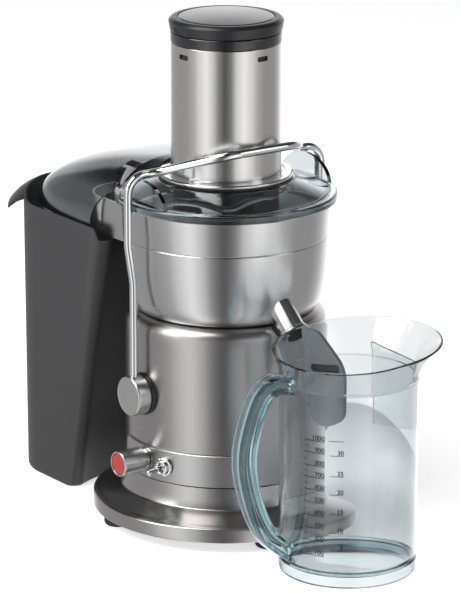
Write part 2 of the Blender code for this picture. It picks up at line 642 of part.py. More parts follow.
def build_cover(root):
    underside = LID_TOP_Z - LID_WALL
    spigot = BOWL_RIM_RADIUS - BOWL_WALL - 0.0009
    outer = [(0, LID_TOP_Z), (LID_TOP_RADIUS, LID_TOP_Z), (LID_TOP_RADIUS + 0.0065, LID_TOP_Z - 0.0023),
             (LID_RADIUS - 0.0113, LID_RIM_Z + 0.0017), (LID_RADIUS - 0.0068, LID_RIM_Z),
             (LID_RADIUS - 0.0008, LID_RIM_Z), (LID_RADIUS, LID_RIM_Z - 0.0010), (LID_RADIUS, LID_FOOT_Z),
             (spigot, LID_FOOT_Z), (spigot, LID_FOOT_Z - 0.0080), (0, LID_FOOT_Z - 0.0080)]
    inside = spigot - LID_WALL
    inner = [(0, underside), (LID_TOP_RADIUS - 0.0010, underside), (LID_TOP_RADIUS + 0.0055, underside - 0.0024),
             (inside - 0.0020, LID_RIM_Z - 0.0008), (inside, LID_RIM_Z - 0.0020),
             (inside, LID_FOOT_Z - 0.0100), (0, LID_FOOT_Z - 0.0100)]
    side_on = Matrix.Translation((0, 0.1, 0)) @ Matrix.Rotation(math.pi / 2, 4, "X")
    dome = duct_solid("duct_dome", 0.0, 0.0, root)
    boolean(dome, prism("duct_arch", arch_outline(0), 0, 0.2, root, None, side_on))
    cover = turned("juicer_cover", outer, root, CLEAR_COVER)
    boolean(cover, dome, "UNION")
    for name, side in (("front", -1), ("rear", 1)):
        low = LID_RIM_Z - 0.0020
        outline = [(EAR_HALF * math.cos(t), low + (EAR_TOP_Z - low) * math.sin(t))
                   for t in (math.pi * i / 12 for i in range(13))]
        start = EAR_INSIDE if side > 0 else -EAR_INSIDE - EAR_THICKNESS
        place = Matrix.Translation((0, start + EAR_THICKNESS, 0)) @ Matrix.Rotation(math.pi / 2, 4, "X")
        ear = prism("ear_block_" + name, outline, 0, EAR_THICKNESS, root, None, place)
        boolean(cover, ear, "UNION")
    boolean(cover, turned("lid_hollow", inner, root))
    boolean(cover, duct_solid("duct_hollow", DUCT_CREST_X, DUCT_WALL, root))
    boolean(cover, disc("chute_hole", CHUTE_RADIUS + GAP, 0.25, 0.31, root))
    boolean(cover, disc("chute_seat_cut", SLEEVE_RING_RADIUS + 0.0007, LID_TOP_Z, 0.31, root))


def build_chute(root):
    inside = CHUTE_RADIUS - CHUTE_WALL
    profile = [(inside, CHUTE_FOOT_Z), (CHUTE_RADIUS, CHUTE_FOOT_Z), (CHUTE_RADIUS, CHUTE_SEAT_Z),
               (CHUTE_SEAT_RADIUS, CHUTE_SEAT_Z), (CHUTE_SEAT_RADIUS, CHUTE_SEAT_Z + 0.0015),
               (CHUTE_RADIUS, CHUTE_SEAT_Z + 0.0015), (CHUTE_RADIUS, SLEEVE_TOP_Z), (inside, SLEEVE_TOP_Z)]
    turned("feed_chute", profile, root, BLACK)
    sleeve = ring("chute_sleeve", CHUTE_RADIUS + RUN_GAP, SLEEVE_RADIUS, SLEEVE_FOOT_Z, SLEEVE_TOP_Z, root, STEEL)
    for i in range(4):
        turn = SLOT_TURN + math.pi / 2 * i
        centre = (SLEEVE_RADIUS * math.cos(turn), SLEEVE_RADIUS * math.sin(turn), SLEEVE_TOP_Z - SLOT_DROP)
        slot = box("sleeve_slot_%d" % (i + 1), centre, (0.006, SLOT_WIDTH, SLOT_HEIGHT), root, None, turn)
        boolean(sleeve, slot)
    ring("sleeve_base_ring", SLEEVE_RADIUS + GAP, SLEEVE_RING_RADIUS, SLEEVE_FOOT_Z,
         SLEEVE_FOOT_Z + SLEEVE_RING_HEIGHT, root, BRIGHT_STEEL)
    ring("chute_ring", inside, CAP_FOOT_RADIUS, CHUTE_RING_Z, CHUTE_RING_Z + CHUTE_RING_HEIGHT, root, BLACK)


def build_pusher(root):
    slide = empty("pusher_slide", root, (0, 0, PUSHER_FOOT_Z))
    top = CAP_FOOT_Z - GAP - PUSHER_FOOT_Z
    inside = PUSHER_RADIUS - PUSHER_WALL
    cup = [(0, 0), (PUSHER_RADIUS - 0.002, 0), (PUSHER_RADIUS, 0.002), (PUSHER_RADIUS, top), (inside, top),
           (inside, 0.0025), (0, 0.0025)]
    turned("pusher_body", cup, slide, CHARCOAL)
    low = CAP_FOOT_Z - PUSHER_FOOT_Z
    high = CAP_TOP_Z - PUSHER_FOOT_Z
    cap = [(0, low), (CAP_FOOT_RADIUS, low), (CAP_RADIUS, high - 0.0030), (CAP_RADIUS - 0.0010, high - 0.0008),
           (CAP_DISC_RADIUS + 0.0010, high), (CAP_DISC_RADIUS + GAP, high), (CAP_DISC_RADIUS + GAP, high - 0.002),
           (0, high - 0.002)]
    cap = turned("pusher_cap", cap, slide, CHARCOAL)
    notch = box("cap_notch", (0, -CAP_FOOT_RADIUS, low), (0.016, 0.006, 0.007), slide)
    boolean(cap, notch)
    crown = [(0, high - 0.002 + GAP), (CAP_DISC_RADIUS, high - 0.002 + GAP), (CAP_DISC_RADIUS, high - 0.0003),
             (CAP_DISC_RADIUS * 0.7, high + DISC_CROWN * 0.5), (0, high + DISC_CROWN)]
    turned("pusher_cap_disc", crown, slide, CHARCOAL)


# ---- drive and basket -------------------------------------------------------------------------
def build_motor(root):
    shell = FRAME_RADIUS - FRAME_WALL
    top = DECK_UNDERSIDE_Z - GAP
    bore = BEARING_RADIUS - 0.002 + GAP
    frame = [(bore, FRAME_FOOT_Z), (FRAME_RADIUS, FRAME_FOOT_Z), (FRAME_RADIUS, top - 0.003),
             (FRAME_RADIUS + 0.012, top - 0.003), (FRAME_RADIUS + 0.012, top), (shell, top),
             (shell, FRAME_FOOT_Z + 0.003), (bore, FRAME_FOOT_Z + 0.003)]
    turned("motor_frame", frame, root, STEEL)
    ring("motor_stator", STATOR_INSIDE, shell - GAP, STATOR_LOW_Z, STATOR_HIGH_Z, root, COPPER)
    inner = SHAFT_RADIUS + GAP
    ring("bearing_lower", inner, bore - GAP, FRAME_FOOT_Z - 0.001, FRAME_FOOT_Z + 0.005, root, BRIGHT_STEEL,
         MID_SEGMENTS)
    ring("bearing_upper", inner, BEARING_RADIUS, DECK_UNDERSIDE_Z - 0.003, DECK_Z - 0.0003, root, BRIGHT_STEEL,
         MID_SEGMENTS)
    rotor = empty("rotor_axis", root)
    disc("motor_shaft", SHAFT_RADIUS, SHAFT_FOOT_Z, SHAFT_TOP_Z, rotor, BRIGHT_STEEL, MID_SEGMENTS)
    ring("armature", inner, ARMATURE_RADIUS, STATOR_LOW_Z + 0.003, STATOR_HIGH_Z - 0.003, rotor, COPPER,
         MID_SEGMENTS)
    ring("commutator", inner, 0.0120, STATOR_LOW_Z - 0.022, STATOR_LOW_Z - 0.004, rotor, COPPER, MID_SEGMENTS)
    for name, side in (("front", -1), ("rear", 1)):
        near, far = 0.0125, shell - 3 * GAP
        middle = (0, side * (near + far) / 2, STATOR_LOW_Z - 0.013)
        box("motor_brush_" + name, middle, (0.008, far - near, 0.010), root, BLACK)
    outline = []
    for i in range(FAN_BLADES):
        turn = math.tau * i / FAN_BLADES
        for radius, lead in ((0.016, 0.0), (FAN_RADIUS, 0.10), (FAN_RADIUS, 0.18), (0.016, 0.14)):
            outline.append((radius * math.cos(turn + lead), radius * math.sin(turn + lead)))
    fan = prism("motor_fan", outline, STATOR_HIGH_Z + 0.008, STATOR_HIGH_Z + 0.022, rotor, CHARCOAL)
    boolean(fan, disc("fan_bore", inner, 0.12, 0.17, rotor, None, MID_SEGMENTS))
    lobes = [(COUPLING_RADIUS * (1 - 0.10 * (1 + math.cos(3 * t)) / 2) * math.cos(t),
              COUPLING_RADIUS * (1 - 0.10 * (1 + math.cos(3 * t)) / 2) * math.sin(t))
             for t in (math.tau * i / 24 for i in range(24))]
    coupling = prism("drive_coupling", lobes, COUPLING_LOW_Z, COUPLING_HIGH_Z, rotor, BLACK)
    boolean(coupling, disc("coupling_bore", inner, COUPLING_LOW_Z - 0.01, SHAFT_TOP_Z + GAP, rotor, None,
                           MID_SEGMENTS))


def build_basket(root):
    axis = empty("basket_axis", root)
    socket = COUPLING_RADIUS + 0.0020
    hub = [(0, HUB_HIGH_Z), (HUB_RADIUS, HUB_HIGH_Z), (HUB_RADIUS, HUB_LOW_Z), (socket, HUB_LOW_Z),
           (socket, COUPLING_HIGH_Z + RUN_GAP), (0, COUPLING_HIGH_Z + RUN_GAP)]
    turned("basket_hub", hub, axis, CHARCOAL, MID_SEGMENTS)
    floor = HUB_HIGH_Z - 0.0020
    hole = HUB_RADIUS + GAP
    rise = BASKET_RIM_Z - 0.0020
    basket = [(hole, floor), (BASKET_FLOOR_RADIUS, floor), (BASKET_RIM_RADIUS - 0.0030, rise),
              (BASKET_RIM_RADIUS, rise), (BASKET_RIM_RADIUS, BASKET_RIM_Z),
              (BASKET_RIM_RADIUS - 0.0030 - BASKET_WALL, BASKET_RIM_Z),
              (BASKET_FLOOR_RADIUS - 0.0012, floor + BASKET_WALL), (hole, floor + BASKET_WALL)]
    turned("filter_basket", basket, axis, STEEL)
    low = HUB_HIGH_Z + GAP
    disc("grating_disc", GRATING_RADIUS, low, low + 0.0016, axis, BRIGHT_STEEL, MID_SEGMENTS)


# ---- pulp bin ---------------------------------------------------------------------------------
def bin_outline(inset, hug):
    """A plan outline: a hollow that follows the machine, rounded ends of it, sides, outer corners."""
    half = BIN_HALF - inset
    end = BIN_END - inset
    corner = BIN_CORNER - inset
    near = BIN_NEAR_CORNER - inset
    hug = hug + inset
    lean = math.asin((half - near) / (hug + near))
    centre = (-math.sqrt((hug + near) ** 2 - (half - near) ** 2), near - half)
    hollow = arc((0, 0), hug, math.pi, math.pi + lean, 4)
    low = hollow[:-1] + arc(centre, near, lean, -math.pi / 2, 5)
    low += arc((corner - end, corner - half), corner, -math.pi / 2, -math.pi, 8)
    high = [(x, -y) for x, y in reversed(low[1:])]
    return high + low


def rim_height(x, y):
    """The rim rises to the outer end and dips where the bin meets the machine."""
    rise = min(max((-x - BIN_END + BIN_CORNER * 0.8) / (BIN_CORNER * 0.8), 0.0), 1.0)
    inward = (BIN_HALF - abs(y)) / BIN_RIM_RAMP if x > BIN_CORNER * 1.5 - BIN_END else 0.0
    return BIN_RIM_Z + BIN_RIM_RISE * rise ** 1.3 - BIN_NEAR_RIM_DROP * min(inward, 1.0)


def bin_ring(inset, hug, height):
    return [Vector((x, y, height)) for x, y in bin_outline(inset, hug)]


def bin_rim_ring(inset, drop):
    plan = zip(bin_outline(inset, BIN_HUG_RIM), bin_outline(0, BIN_HUG_RIM))
    return [Vector((x, y, rim_height(u, v) - drop)) for (x, y), (u, v) in plan]


def build_bin(root):
    slide = empty("bin_slide", root)
    foot = BIN_HUG_FOOT
    rings = [
        bin_ring(BIN_DRAFT + 0.003, foot, 0.0), bin_ring(BIN_DRAFT, foot, 0.003),
        bin_rim_ring(0, 0.001), bin_rim_ring(0.0008, 0), bin_rim_ring(BIN_WALL - 0.0008, 0),
        bin_rim_ring(BIN_WALL, 0.001), bin_ring(BIN_DRAFT + BIN_WALL, foot, BIN_FLOOR + 0.003),
        bin_ring(BIN_DRAFT + BIN_WALL + 0.003, foot, BIN_FLOOR),
    ]
    pulp_bin = lofted("pulp_bin", rings, slide, CHARCOAL)
    centre = Vector((BIN_CORNER - BIN_END, BIN_CORNER - BIN_HALF, 0))
    bends = [LIP_START + (math.pi / 2 - LIP_START) * i / 6 for i in range(7)]
    spokes = [Vector((-math.sin(bend), -math.cos(bend), 0)) for bend in bends]
    plan = [(centre, spoke) for spoke in spokes]
    plan += [(Vector((c.x, -c.y, 0)), Vector((s.x, -s.y, 0))) for c, s in reversed(plan)]
    strip = []
    for middle, spoke in plan:
        edge = middle + spoke * (BIN_CORNER - BIN_WALL * 0.5)
        edge.z = rim_height(edge.x, edge.y) - 0.0004
        reach = LIP_REACH + BIN_WALL * 0.5
        section = [(0.0, 0.0), (0.0, -LIP_THICKNESS * 1.6), (reach, -LIP_DROP - LIP_THICKNESS * 0.4),
                   (reach, -LIP_DROP + LIP_THICKNESS * 0.4), (reach * 0.45, -LIP_DROP * 0.22)]
        strip.append([edge + spoke * out + Vector((0, 0, drop)) for out, drop in section])
    boolean(pulp_bin, lofted("bin_lip", strip, slide), "UNION")


# ---- jug --------------------------------------------------------------------------------------
def jug_ring(radius, height, rim_share, wall=0.0):
    """A loop of the jug; rim_share blends from the round body to the lipped, tilted rim."""
    points = []
    for i in range(SEGMENTS):
        turn = math.tau * i / SEGMENTS
        away = (turn - JUG_TURN + math.pi) % math.tau - math.pi
        bump = max(0.0, math.cos(away * math.pi / 2 / JUG_LIP_SPREAD)) ** 1.4 if abs(away) < JUG_LIP_SPREAD else 0.0
        r = radius + JUG_LIP_REACH * bump * rim_share - wall
        z = height + JUG_RIM_TILT * math.cos(away - math.radians(35)) * rim_share
        points.append(Vector((r * math.cos(turn), r * math.sin(turn), z)))
    return points


def build_jug(root):
    slide = empty("jug_slide", root, (JUG_X, 0, 0))
    body, wall = JUG_RADIUS, JUG_WALL
    flare = JUG_RIM_RADIUS - JUG_RADIUS
    rise = JUG_RIM_Z - JUG_SHOULDER_Z
    rings = [jug_ring(body - 0.004, 0.0, 0), jug_ring(body - 0.0005, 0.002, 0), jug_ring(body, 0.008, 0),
             jug_ring(body, JUG_SHOULDER_Z, 0),
             jug_ring(body + flare * 0.35, JUG_SHOULDER_Z + rise * 0.5, 0.30),
             jug_ring(body + flare, JUG_RIM_Z - 0.0008, 0.97), jug_ring(body + flare, JUG_RIM_Z, 1.0, wall * 0.2),
             jug_ring(body + flare, JUG_RIM_Z, 1.0, wall * 0.9),
             jug_ring(body + flare * 0.35, JUG_SHOULDER_Z + rise * 0.5 + 0.001, 0.30, wall),
             jug_ring(body, JUG_SHOULDER_Z + 0.001, 0, wall), jug_ring(body, JUG_FLOOR + 0.004, 0, wall),
             jug_ring(body - 0.004, JUG_FLOOR, 0, wall)]
    lofted("jug_body", rings, slide, CLEAR_JUG)
    build_handle(slide)
    build_separator(slide)
    build_guide(slide)


def smooth_curve(points, steps):
    """Catmull-Rom points through a list of vectors."""
    ends = [points[0] * 2 - points[1]] + points + [points[-1] * 2 - points[-2]]
    path = []
    for a, b, c, d in zip(ends, ends[1:], ends[2:], ends[3:]):
        for i in range(steps):
            t = i / steps
            path.append(0.5 * (2 * b + (c - a) * t + (2 * a - 5 * b + 4 * c - d) * t * t
                               + (3 * b - a - 3 * c + d) * t ** 3))
    return path + [points[-1]]


def build_handle(slide):
    seat = JUG_RADIUS + GAP - 0.0020
    route = [Vector((seat, 0.1600)), Vector((0.0700, 0.1625)), Vector((0.0845, 0.1500)),
             Vector((HANDLE_REACH, 0.1100)), Vector((0.0905, 0.0720)), Vector((0.0760, 0.0400)),
             Vector((seat, 0.0210))]
    path = smooth_curve(route, 3)
    out = Vector((-math.cos(JUG_TURN), -math.sin(JUG_TURN), 0))
    side = Vector((-out.y, out.x, 0))
    rings = []
    for i, place in enumerate(path):
        ahead = path[min(i + 1, len(path) - 1)] - path[max(i - 1, 0)]
        if i in (0, len(path) - 1):
            across = Vector((0, 1 if i == 0 else -1))
        else:
            across = Vector((-ahead.y, ahead.x)).normalized()
        loop = []
        for j in range(10):
            turn = math.tau * j / 10
            deep = HANDLE_DEPTH / 2 * math.copysign(abs(math.sin(turn)) ** 0.7, math.sin(turn))
            wide = HANDLE_WIDTH / 2 * math.copysign(abs(math.cos(turn)) ** 0.7, math.cos(turn))
            flat = place + across * deep
            loop.append(out * flat.x + side * wide + Vector((0, 0, flat.y)))
        rings.append(loop)
    handle = lofted("jug_handle", rings, slide, CLEAR_JUG)
    flare = JUG_RIM_RADIUS - JUG_RADIUS
    rise = JUG_RIM_Z - JUG_SHOULDER_Z
    seat_rings = [jug_ring(JUG_RADIUS + GAP, z, 0) for z in (0.0, JUG_SHOULDER_Z - GAP)]
    seat_rings.append(jug_ring(JUG_RADIUS + flare * 0.35 + GAP, JUG_SHOULDER_Z + rise * 0.5 - GAP, 0.30))
    seat_rings.append(jug_ring(JUG_RIM_RADIUS + GAP, JUG_RIM_Z - 0.0008 - GAP, 0.97))
    boolean(handle, lofted("handle_seat", seat_rings, slide))


def build_separator(slide):
    """A plate across the jug near its lip, held by the wall."""
    far = SEPARATOR_OFFSET + SEPARATOR_THICKNESS
    inside = JUG_RADIUS - JUG_WALL - 2 * GAP
    half = math.sqrt(inside ** 2 - far ** 2)
    high = JUG_SHOULDER_Z + (JUG_RIM_Z - JUG_SHOULDER_Z) * 0.5
    high_half = math.sqrt((inside + (JUG_RIM_RADIUS - JUG_RADIUS) * 0.25) ** 2 - far ** 2)
    outline = [(-half, SEPARATOR_LOW_Z), (half, SEPARATOR_LOW_Z), (half, JUG_SHOULDER_Z),
               (high_half, high), (-high_half, high), (-half, JUG_SHOULDER_Z)]
    upright = Matrix.Rotation(JUG_TURN, 4, "Z") @ Matrix(((0, 0, 1, 0), (1, 0, 0, 0), (0, 1, 0, 0), (0, 0, 0, 1)))
    prism("froth_separator", outline, SEPARATOR_OFFSET, far, slide, CLEAR_JUG, upright)


def build_guide(slide):
    """A dark tongue with a long slot that stands against the jug's wall below the spout."""
    wall = -(JUG_RADIUS - JUG_WALL - 2 * GAP)
    rim = -(JUG_RIM_RADIUS - JUG_WALL - 0.0012)
    flare = wall - (JUG_RIM_RADIUS - JUG_RADIUS) * 0.27
    half_rise = (JUG_RIM_Z + JUG_SHOULDER_Z) / 2
    outline = [(wall, 0.146), (wall + 0.010, 0.139), (wall + 0.0125, 0.128), (wall + 0.017, 0.1235),
               (wall + 0.031, 0.1225), (wall + 0.047, 0.1300), (wall + 0.0515, 0.1360), (wall + 0.0515, 0.1600),
               (wall + 0.046, 0.1690), (wall + 0.016, 0.1880), (rim + 0.002, 0.1870), (rim, 0.1835),
               (flare, half_rise), (wall, JUG_SHOULDER_Z + 0.001)]
    frame = Matrix.Translation((0, GUIDE_Y, 0)) @ Matrix.Rotation(math.pi / 2, 4, "X")
    guide = prism("juice_guide", outline, -GUIDE_THICKNESS / 2, GUIDE_THICKNESS / 2, slide, CHARCOAL, frame)
    slot_low, slot_high, slot_half, tilt = wall + 0.011, wall + 0.043, 0.0032, math.radians(12)
    ends = arc((slot_high, 0), slot_half, -math.pi / 2, math.pi / 2, 6)
    ends += arc((slot_low, 0), slot_half, math.pi / 2, 3 * math.pi / 2, 6)
    middle = (slot_low + slot_high) / 2
    turned_slot = [(middle + (x - middle) * math.cos(tilt) - y * math.sin(tilt),
                    0.1600 + (x - middle) * math.sin(tilt) + y * math.cos(tilt)) for x, y in ends]
    boolean(guide, prism("guide_slot", turned_slot, -0.01, 0.01, slide, None, frame))


def main():
    clear_scene()
    root = empty("machine_axis", None, (FRAME_X, 0, 0))
    build_base(root)
    build_housing(root)
    build_panel(root)
    build_button(root)
    build_toggle(root)
    build_arm(root)
    build_bowl(root)
    build_cover(root)
    build_chute(root)
    build_pusher(root)
    build_motor(root)
    build_basket(root)
    build_bin(root)
    build_jug(root)


main()
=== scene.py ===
"""Centrifugal juicer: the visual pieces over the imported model."""

from math import asin, copysign, cos, hypot, pi, radians, sin, sqrt, tan, tau

import bmesh
import bpy
from mathutils import Matrix, Vector


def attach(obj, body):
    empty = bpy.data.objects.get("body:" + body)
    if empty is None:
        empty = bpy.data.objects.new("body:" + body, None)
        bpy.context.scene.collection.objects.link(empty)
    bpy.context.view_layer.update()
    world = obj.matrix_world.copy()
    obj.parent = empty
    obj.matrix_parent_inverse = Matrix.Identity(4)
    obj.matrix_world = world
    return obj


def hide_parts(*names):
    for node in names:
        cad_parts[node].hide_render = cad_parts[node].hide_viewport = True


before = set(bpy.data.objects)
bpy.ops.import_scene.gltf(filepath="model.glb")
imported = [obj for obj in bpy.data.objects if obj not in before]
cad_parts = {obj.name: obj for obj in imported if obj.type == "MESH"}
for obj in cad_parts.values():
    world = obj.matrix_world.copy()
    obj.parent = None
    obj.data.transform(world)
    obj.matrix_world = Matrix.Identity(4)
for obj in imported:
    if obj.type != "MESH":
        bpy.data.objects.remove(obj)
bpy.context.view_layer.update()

# Sizes in metres. The machine's axis stands a little off the origin.
MACHINE_X = 0.0035
MACHINE = Matrix.Translation((MACHINE_X, 0, 0))
JUG_X = 0.1675
JUG = Matrix.Translation((MACHINE_X + JUG_X, 0, 0))
ROUND = 144             # steps round the large turned pieces
SMALL_ROUND = 56        # steps round knobs and bushes
CUT, JOIN, KEEP = "DIFFERENCE", "UNION", "INTERSECT"
WELD = 2e-6             # points closer than this become one
BARREL_R, DECK_Z = 0.0830, 0.1795
PANEL_IN, PANEL_OUT = 0.0833, 0.0846
RIM_Z = 0.2700          # the bowl's rim, which the cover sits on


# ---- making pieces ----------------------------------------------------------------------------
def softened(corners, closed=False, steps=4):
    """Points along a path whose corners (x, y, radius) are rounded."""
    points = []
    count = len(corners)
    for i, (x, y, radius) in enumerate(corners):
        corner = Vector((x, y))
        if radius <= 0 or (not closed and i in (0, count - 1)):
            points.append(corner)
            continue
        back = Vector(corners[i - 1][:2]) - corner
        ahead = Vector(corners[(i + 1) % count][:2]) - corner
        reach = min(radius, back.length * 0.48, ahead.length * 0.48)
        start = corner + back.normalized() * reach
        end = corner + ahead.normalized() * reach
        for k in range(steps + 1):
            t = k / steps
            points.append(start * (1 - t) ** 2 + corner * 2 * t * (1 - t) + end * t * t)
    return points


def arc(centre, radius, start, end, steps):
    """Points round a centre from one angle to another."""
    return [(centre[0] + radius * cos(a), centre[1] + radius * sin(a))
            for a in (start + (end - start) * i / steps for i in range(steps + 1))]


def lathed(corners, place=MACHINE, steps=ROUND, closed=False, fine=4):
    """Spin a rounded profile of (radius, height, corner radius) about Z."""
    bm = bmesh.new()
    verts = [bm.verts.new((p.x, 0, p.y)) for p in softened(corners, closed, fine)]
    edges = [bm.edges.new(pair) for pair in zip(verts, verts[1:])]
    if closed:
        edges.append(bm.edges.new((verts[-1], verts[0])))
    bmesh.ops.spin(bm, geom=verts + edges, cent=(0, 0, 0), axis=(0, 0, 1),
                   angle=tau, steps=steps, use_merge=True)
    return settled(bm, place)


def settled(bm, place=MACHINE):
    """Merge doubled points, turn the faces outward and put the shape in its place."""
    bmesh.ops.remove_doubles(bm, verts=bm.verts, dist=WELD)
    bmesh.ops.recalc_face_normals(bm, faces=bm.faces)
    bmesh.ops.transform(bm, matrix=place, verts=bm.verts)
    return bm


def round_block(radius, low, high, place=MACHINE, steps=ROUND):
    """A plain round bar from low to high."""
    return lathed([(0, low, 0), (radius, low, 0), (radius, high, 0), (0, high, 0)], place, steps)


def skinned(rings, place=MACHINE):
    """Extrude a closed loop through a row of rings of as many points, then close both ends."""
    bm = bmesh.new()
    verts = [bm.verts.new(point) for point in rings[0]]
    first = edges = [bm.edges.new((verts[i - 1], verts[i])) for i in range(len(verts))]
    for ring in rings[1:]:
        grown = bmesh.ops.extrude_edge_only(bm, edges=edges)["geom"]
        fresh = {item for item in grown if isinstance(item, bmesh.types.BMVert)}
        verts = [next(e.other_vert(v) for e in v.link_edges if e.other_vert(v) in fresh) for v in verts]
        for vert, point in zip(verts, ring):
            vert.co = point
        edges = [bm.edges.get((verts[i - 1], verts[i])) for i in range(len(verts))]
    for loop in (first, edges):
        bmesh.ops.contextual_create(bm, geom=loop)
    return settled(bm, place)


def slab(outline, low, high, place):
    """Extrude a flat outline of (x, y) points from low to high."""
    bm = bmesh.new()
    face = bm.faces.new([bm.verts.new((x, y, low)) for x, y in outline])
    grown = bmesh.ops.extrude_face_region(bm, geom=[face])
    moved = [item for item in grown["geom"] if isinstance(item, bmesh.types.BMVert)]
    bmesh.ops.translate(bm, verts=moved, vec=(0, 0, high - low))
    return settled(bm, place)


def swept(points, radius, place=MACHINE, steps=10):
    """A round rod along a row of points."""
    curve = bpy.data.curves.new("rod", "CURVE")
    curve.dimensions = "3D"
    curve.bevel_depth = radius
    curve.bevel_resolution = steps
    curve.use_fill_caps = True
    spline = curve.splines.new("POLY")
    spline.points.add(len(points) - 1)
    for point, where in zip(spline.points, points):
        point.co = (*where, 1.0)
    return settled(meshed(curve), place)


def mesh_of(obj):
    """The finished mesh of an object, as a bmesh."""
    bpy.context.view_layer.update()
    solid = obj.evaluated_get(bpy.context.evaluated_depsgraph_get())
    bm = bmesh.new()
    bm.from_mesh(solid.to_mesh())
    solid.to_mesh_clear()
    return bm


def meshed(curve):
    """The mesh of a curve, as a bmesh."""
    holder = bpy.data.objects.new(curve.name, curve)
    bpy.context.scene.collection.objects.link(holder)
    bm = mesh_of(holder)
    bpy.data.objects.remove(holder)
    return bm


def shop_object(bm, name="shop"):
    """An object in the scene that holds the bmesh's shape."""
    mesh = bpy.data.meshes.new(name)
    bm.to_mesh(mesh)
    bm.free()
    obj = bpy.data.objects.new(name, mesh)
    bpy.context.scene.collection.objects.link(obj)
    return obj


def worked(bm, *steps):
    """Cut or join one shape with others; each step is (operation, bmesh)."""
    stock = shop_object(bm)
    tools = []
    for operation, other in steps:
        tool = shop_object(other)
        tools.append(tool)
        cut = stock.modifiers.new("cut", "BOOLEAN")
        cut.operation = operation
        cut.solver = "EXACT"
        cut.object = tool
    result = mesh_of(stock)
    for obj in tools + [stock]:
        bpy.data.objects.remove(obj)
    bmesh.ops.remove_doubles(result, verts=result.verts, dist=WELD)
    bmesh.ops.dissolve_degenerate(result, edges=result.edges, dist=1e-6)
    return result


def piece(name, bm, finish, body, nodes=(), sharp=35.0):
    """Make the finished piece, hang it on its body and let it stand for its CAD nodes."""
    obj = shop_object(bm, name)
    obj.data.shade_smooth()
    obj.data.set_sharp_from_angle(angle=radians(sharp))
    for one in finish if isinstance(finish, (list, tuple)) else [finish]:
        obj.data.materials.append(one)
    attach(obj, body)
    if nodes:
        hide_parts(*nodes)
    return obj


def outward(turn, height):
    """A frame on the machine's axis whose Z points out at turn, from -Y toward +X."""
    return (MACHINE @ Matrix.Translation((0, 0, height)) @ Matrix.Rotation(turn, 4, "Z")
            @ Matrix.Rotation(pi / 2, 4, "X"))


def along(origin, direction, side):
    """A frame at origin whose Z runs along direction and whose Y is near side."""
    z = direction.normalized()
    x = side.cross(z).normalized()
    y = z.cross(x)
    return MACHINE @ Matrix.Translation(origin) @ Matrix((x, y, z)).transposed().to_4x4()


def joined(*shapes):
    """Several shapes in one mesh."""
    whole = bmesh.new()
    for bm in shapes:
        mesh = bpy.data.meshes.new("part")
        bm.to_mesh(mesh)
        bm.free()
        whole.from_mesh(mesh)
        bpy.data.meshes.remove(mesh)
    return whole


# ---- finishes ---------------------------------------------------------------------------------
def new_group(name, numbers, outputs):
    """A shader node group with number inputs, and its input and output nodes."""
    group = bpy.data.node_groups.new(name, "ShaderNodeTree")
    for label, default in numbers:
        socket = group.interface.new_socket(label, in_out="INPUT", socket_type="NodeSocketFloat")
        socket.default_value = default
    for label, kind in outputs:
        group.interface.new_socket(label, in_out="OUTPUT", socket_type=kind)
    return group, group.nodes.new("NodeGroupInput"), group.nodes.new("NodeGroupOutput")


def wired(tree, kind, inputs=None, **settings):
    """Add a shader node; each of its inputs takes a value or another node's output."""
    node = tree.nodes.new("ShaderNode" + kind)
    for label, value in settings.items():
        setattr(node, label, value)
    for label, value in (inputs or {}).items():
        if isinstance(value, bpy.types.NodeSocket):
            tree.links.new(value, node.inputs[label])
        else:
            node.inputs[label].default_value = value
    return node


def math_node(tree, operation, a, b, clamp=False):
    return wired(tree, "Math", {0: a, 1: b}, operation=operation, use_clamp=clamp).outputs[0]


def noise_node(tree, vector, scale, detail=3.0, rough=0.5):
    inputs = {"Vector": vector, "Scale": scale, "Detail": detail, "Roughness": rough}
    return wired(tree, "TexNoise", inputs).outputs["Fac"]


def stretched(tree, sizes):
    """The piece's own coordinates, scaled along each axis."""
    own = wired(tree, "TexCoord").outputs["Object"]
    return wired(tree, "Mapping", {"Vector": own, "Scale": sizes}).outputs["Vector"]


def mixed(tree, share, low, high):
    """A colour between two others by a share from 0 to 1."""
    return wired(tree, "Mix", {"Factor": share, "A": low, "B": high}, data_type="RGBA").outputs["Result"]


def make_grain_group(name, sizes):
    """Brushed grain: fine lines one way, and slow cloudiness under them."""
    group, given, out = new_group(
        name, [("Rough", 0.3), ("Rough Spread", 0.08)],
        [("Roughness", "NodeSocketFloat"), ("Height", "NodeSocketFloat"), ("Tone", "NodeSocketFloat")])
    lines = noise_node(group, stretched(group, sizes), 1.0, 4.0, 0.6)
    broad = noise_node(group, stretched(group, tuple(s * 0.16 for s in sizes)), 1.0, 2.0)
    clouds = noise_node(group, stretched(group, (1, 1, 1)), 14.0, 3.0)
    mix = math_node(group, "ADD", math_node(group, "MULTIPLY", lines, 0.65),
                    math_node(group, "MULTIPLY", broad, 0.35))
    centred = math_node(group, "SUBTRACT", mix, 0.5)
    spread = math_node(group, "MULTIPLY", centred, given.outputs["Rough Spread"])
    cloud = math_node(group, "MULTIPLY", math_node(group, "SUBTRACT", clouds, 0.5), 0.06)
    rough = math_node(group, "ADD", math_node(group, "ADD", given.outputs["Rough"], spread), cloud)
    group.links.new(rough, out.inputs["Roughness"])
    group.links.new(mix, out.inputs["Height"])
    group.links.new(math_node(group, "ADD", math_node(group, "MULTIPLY", centred, 0.9), 0.5, True),
                    out.inputs["Tone"])
    return group


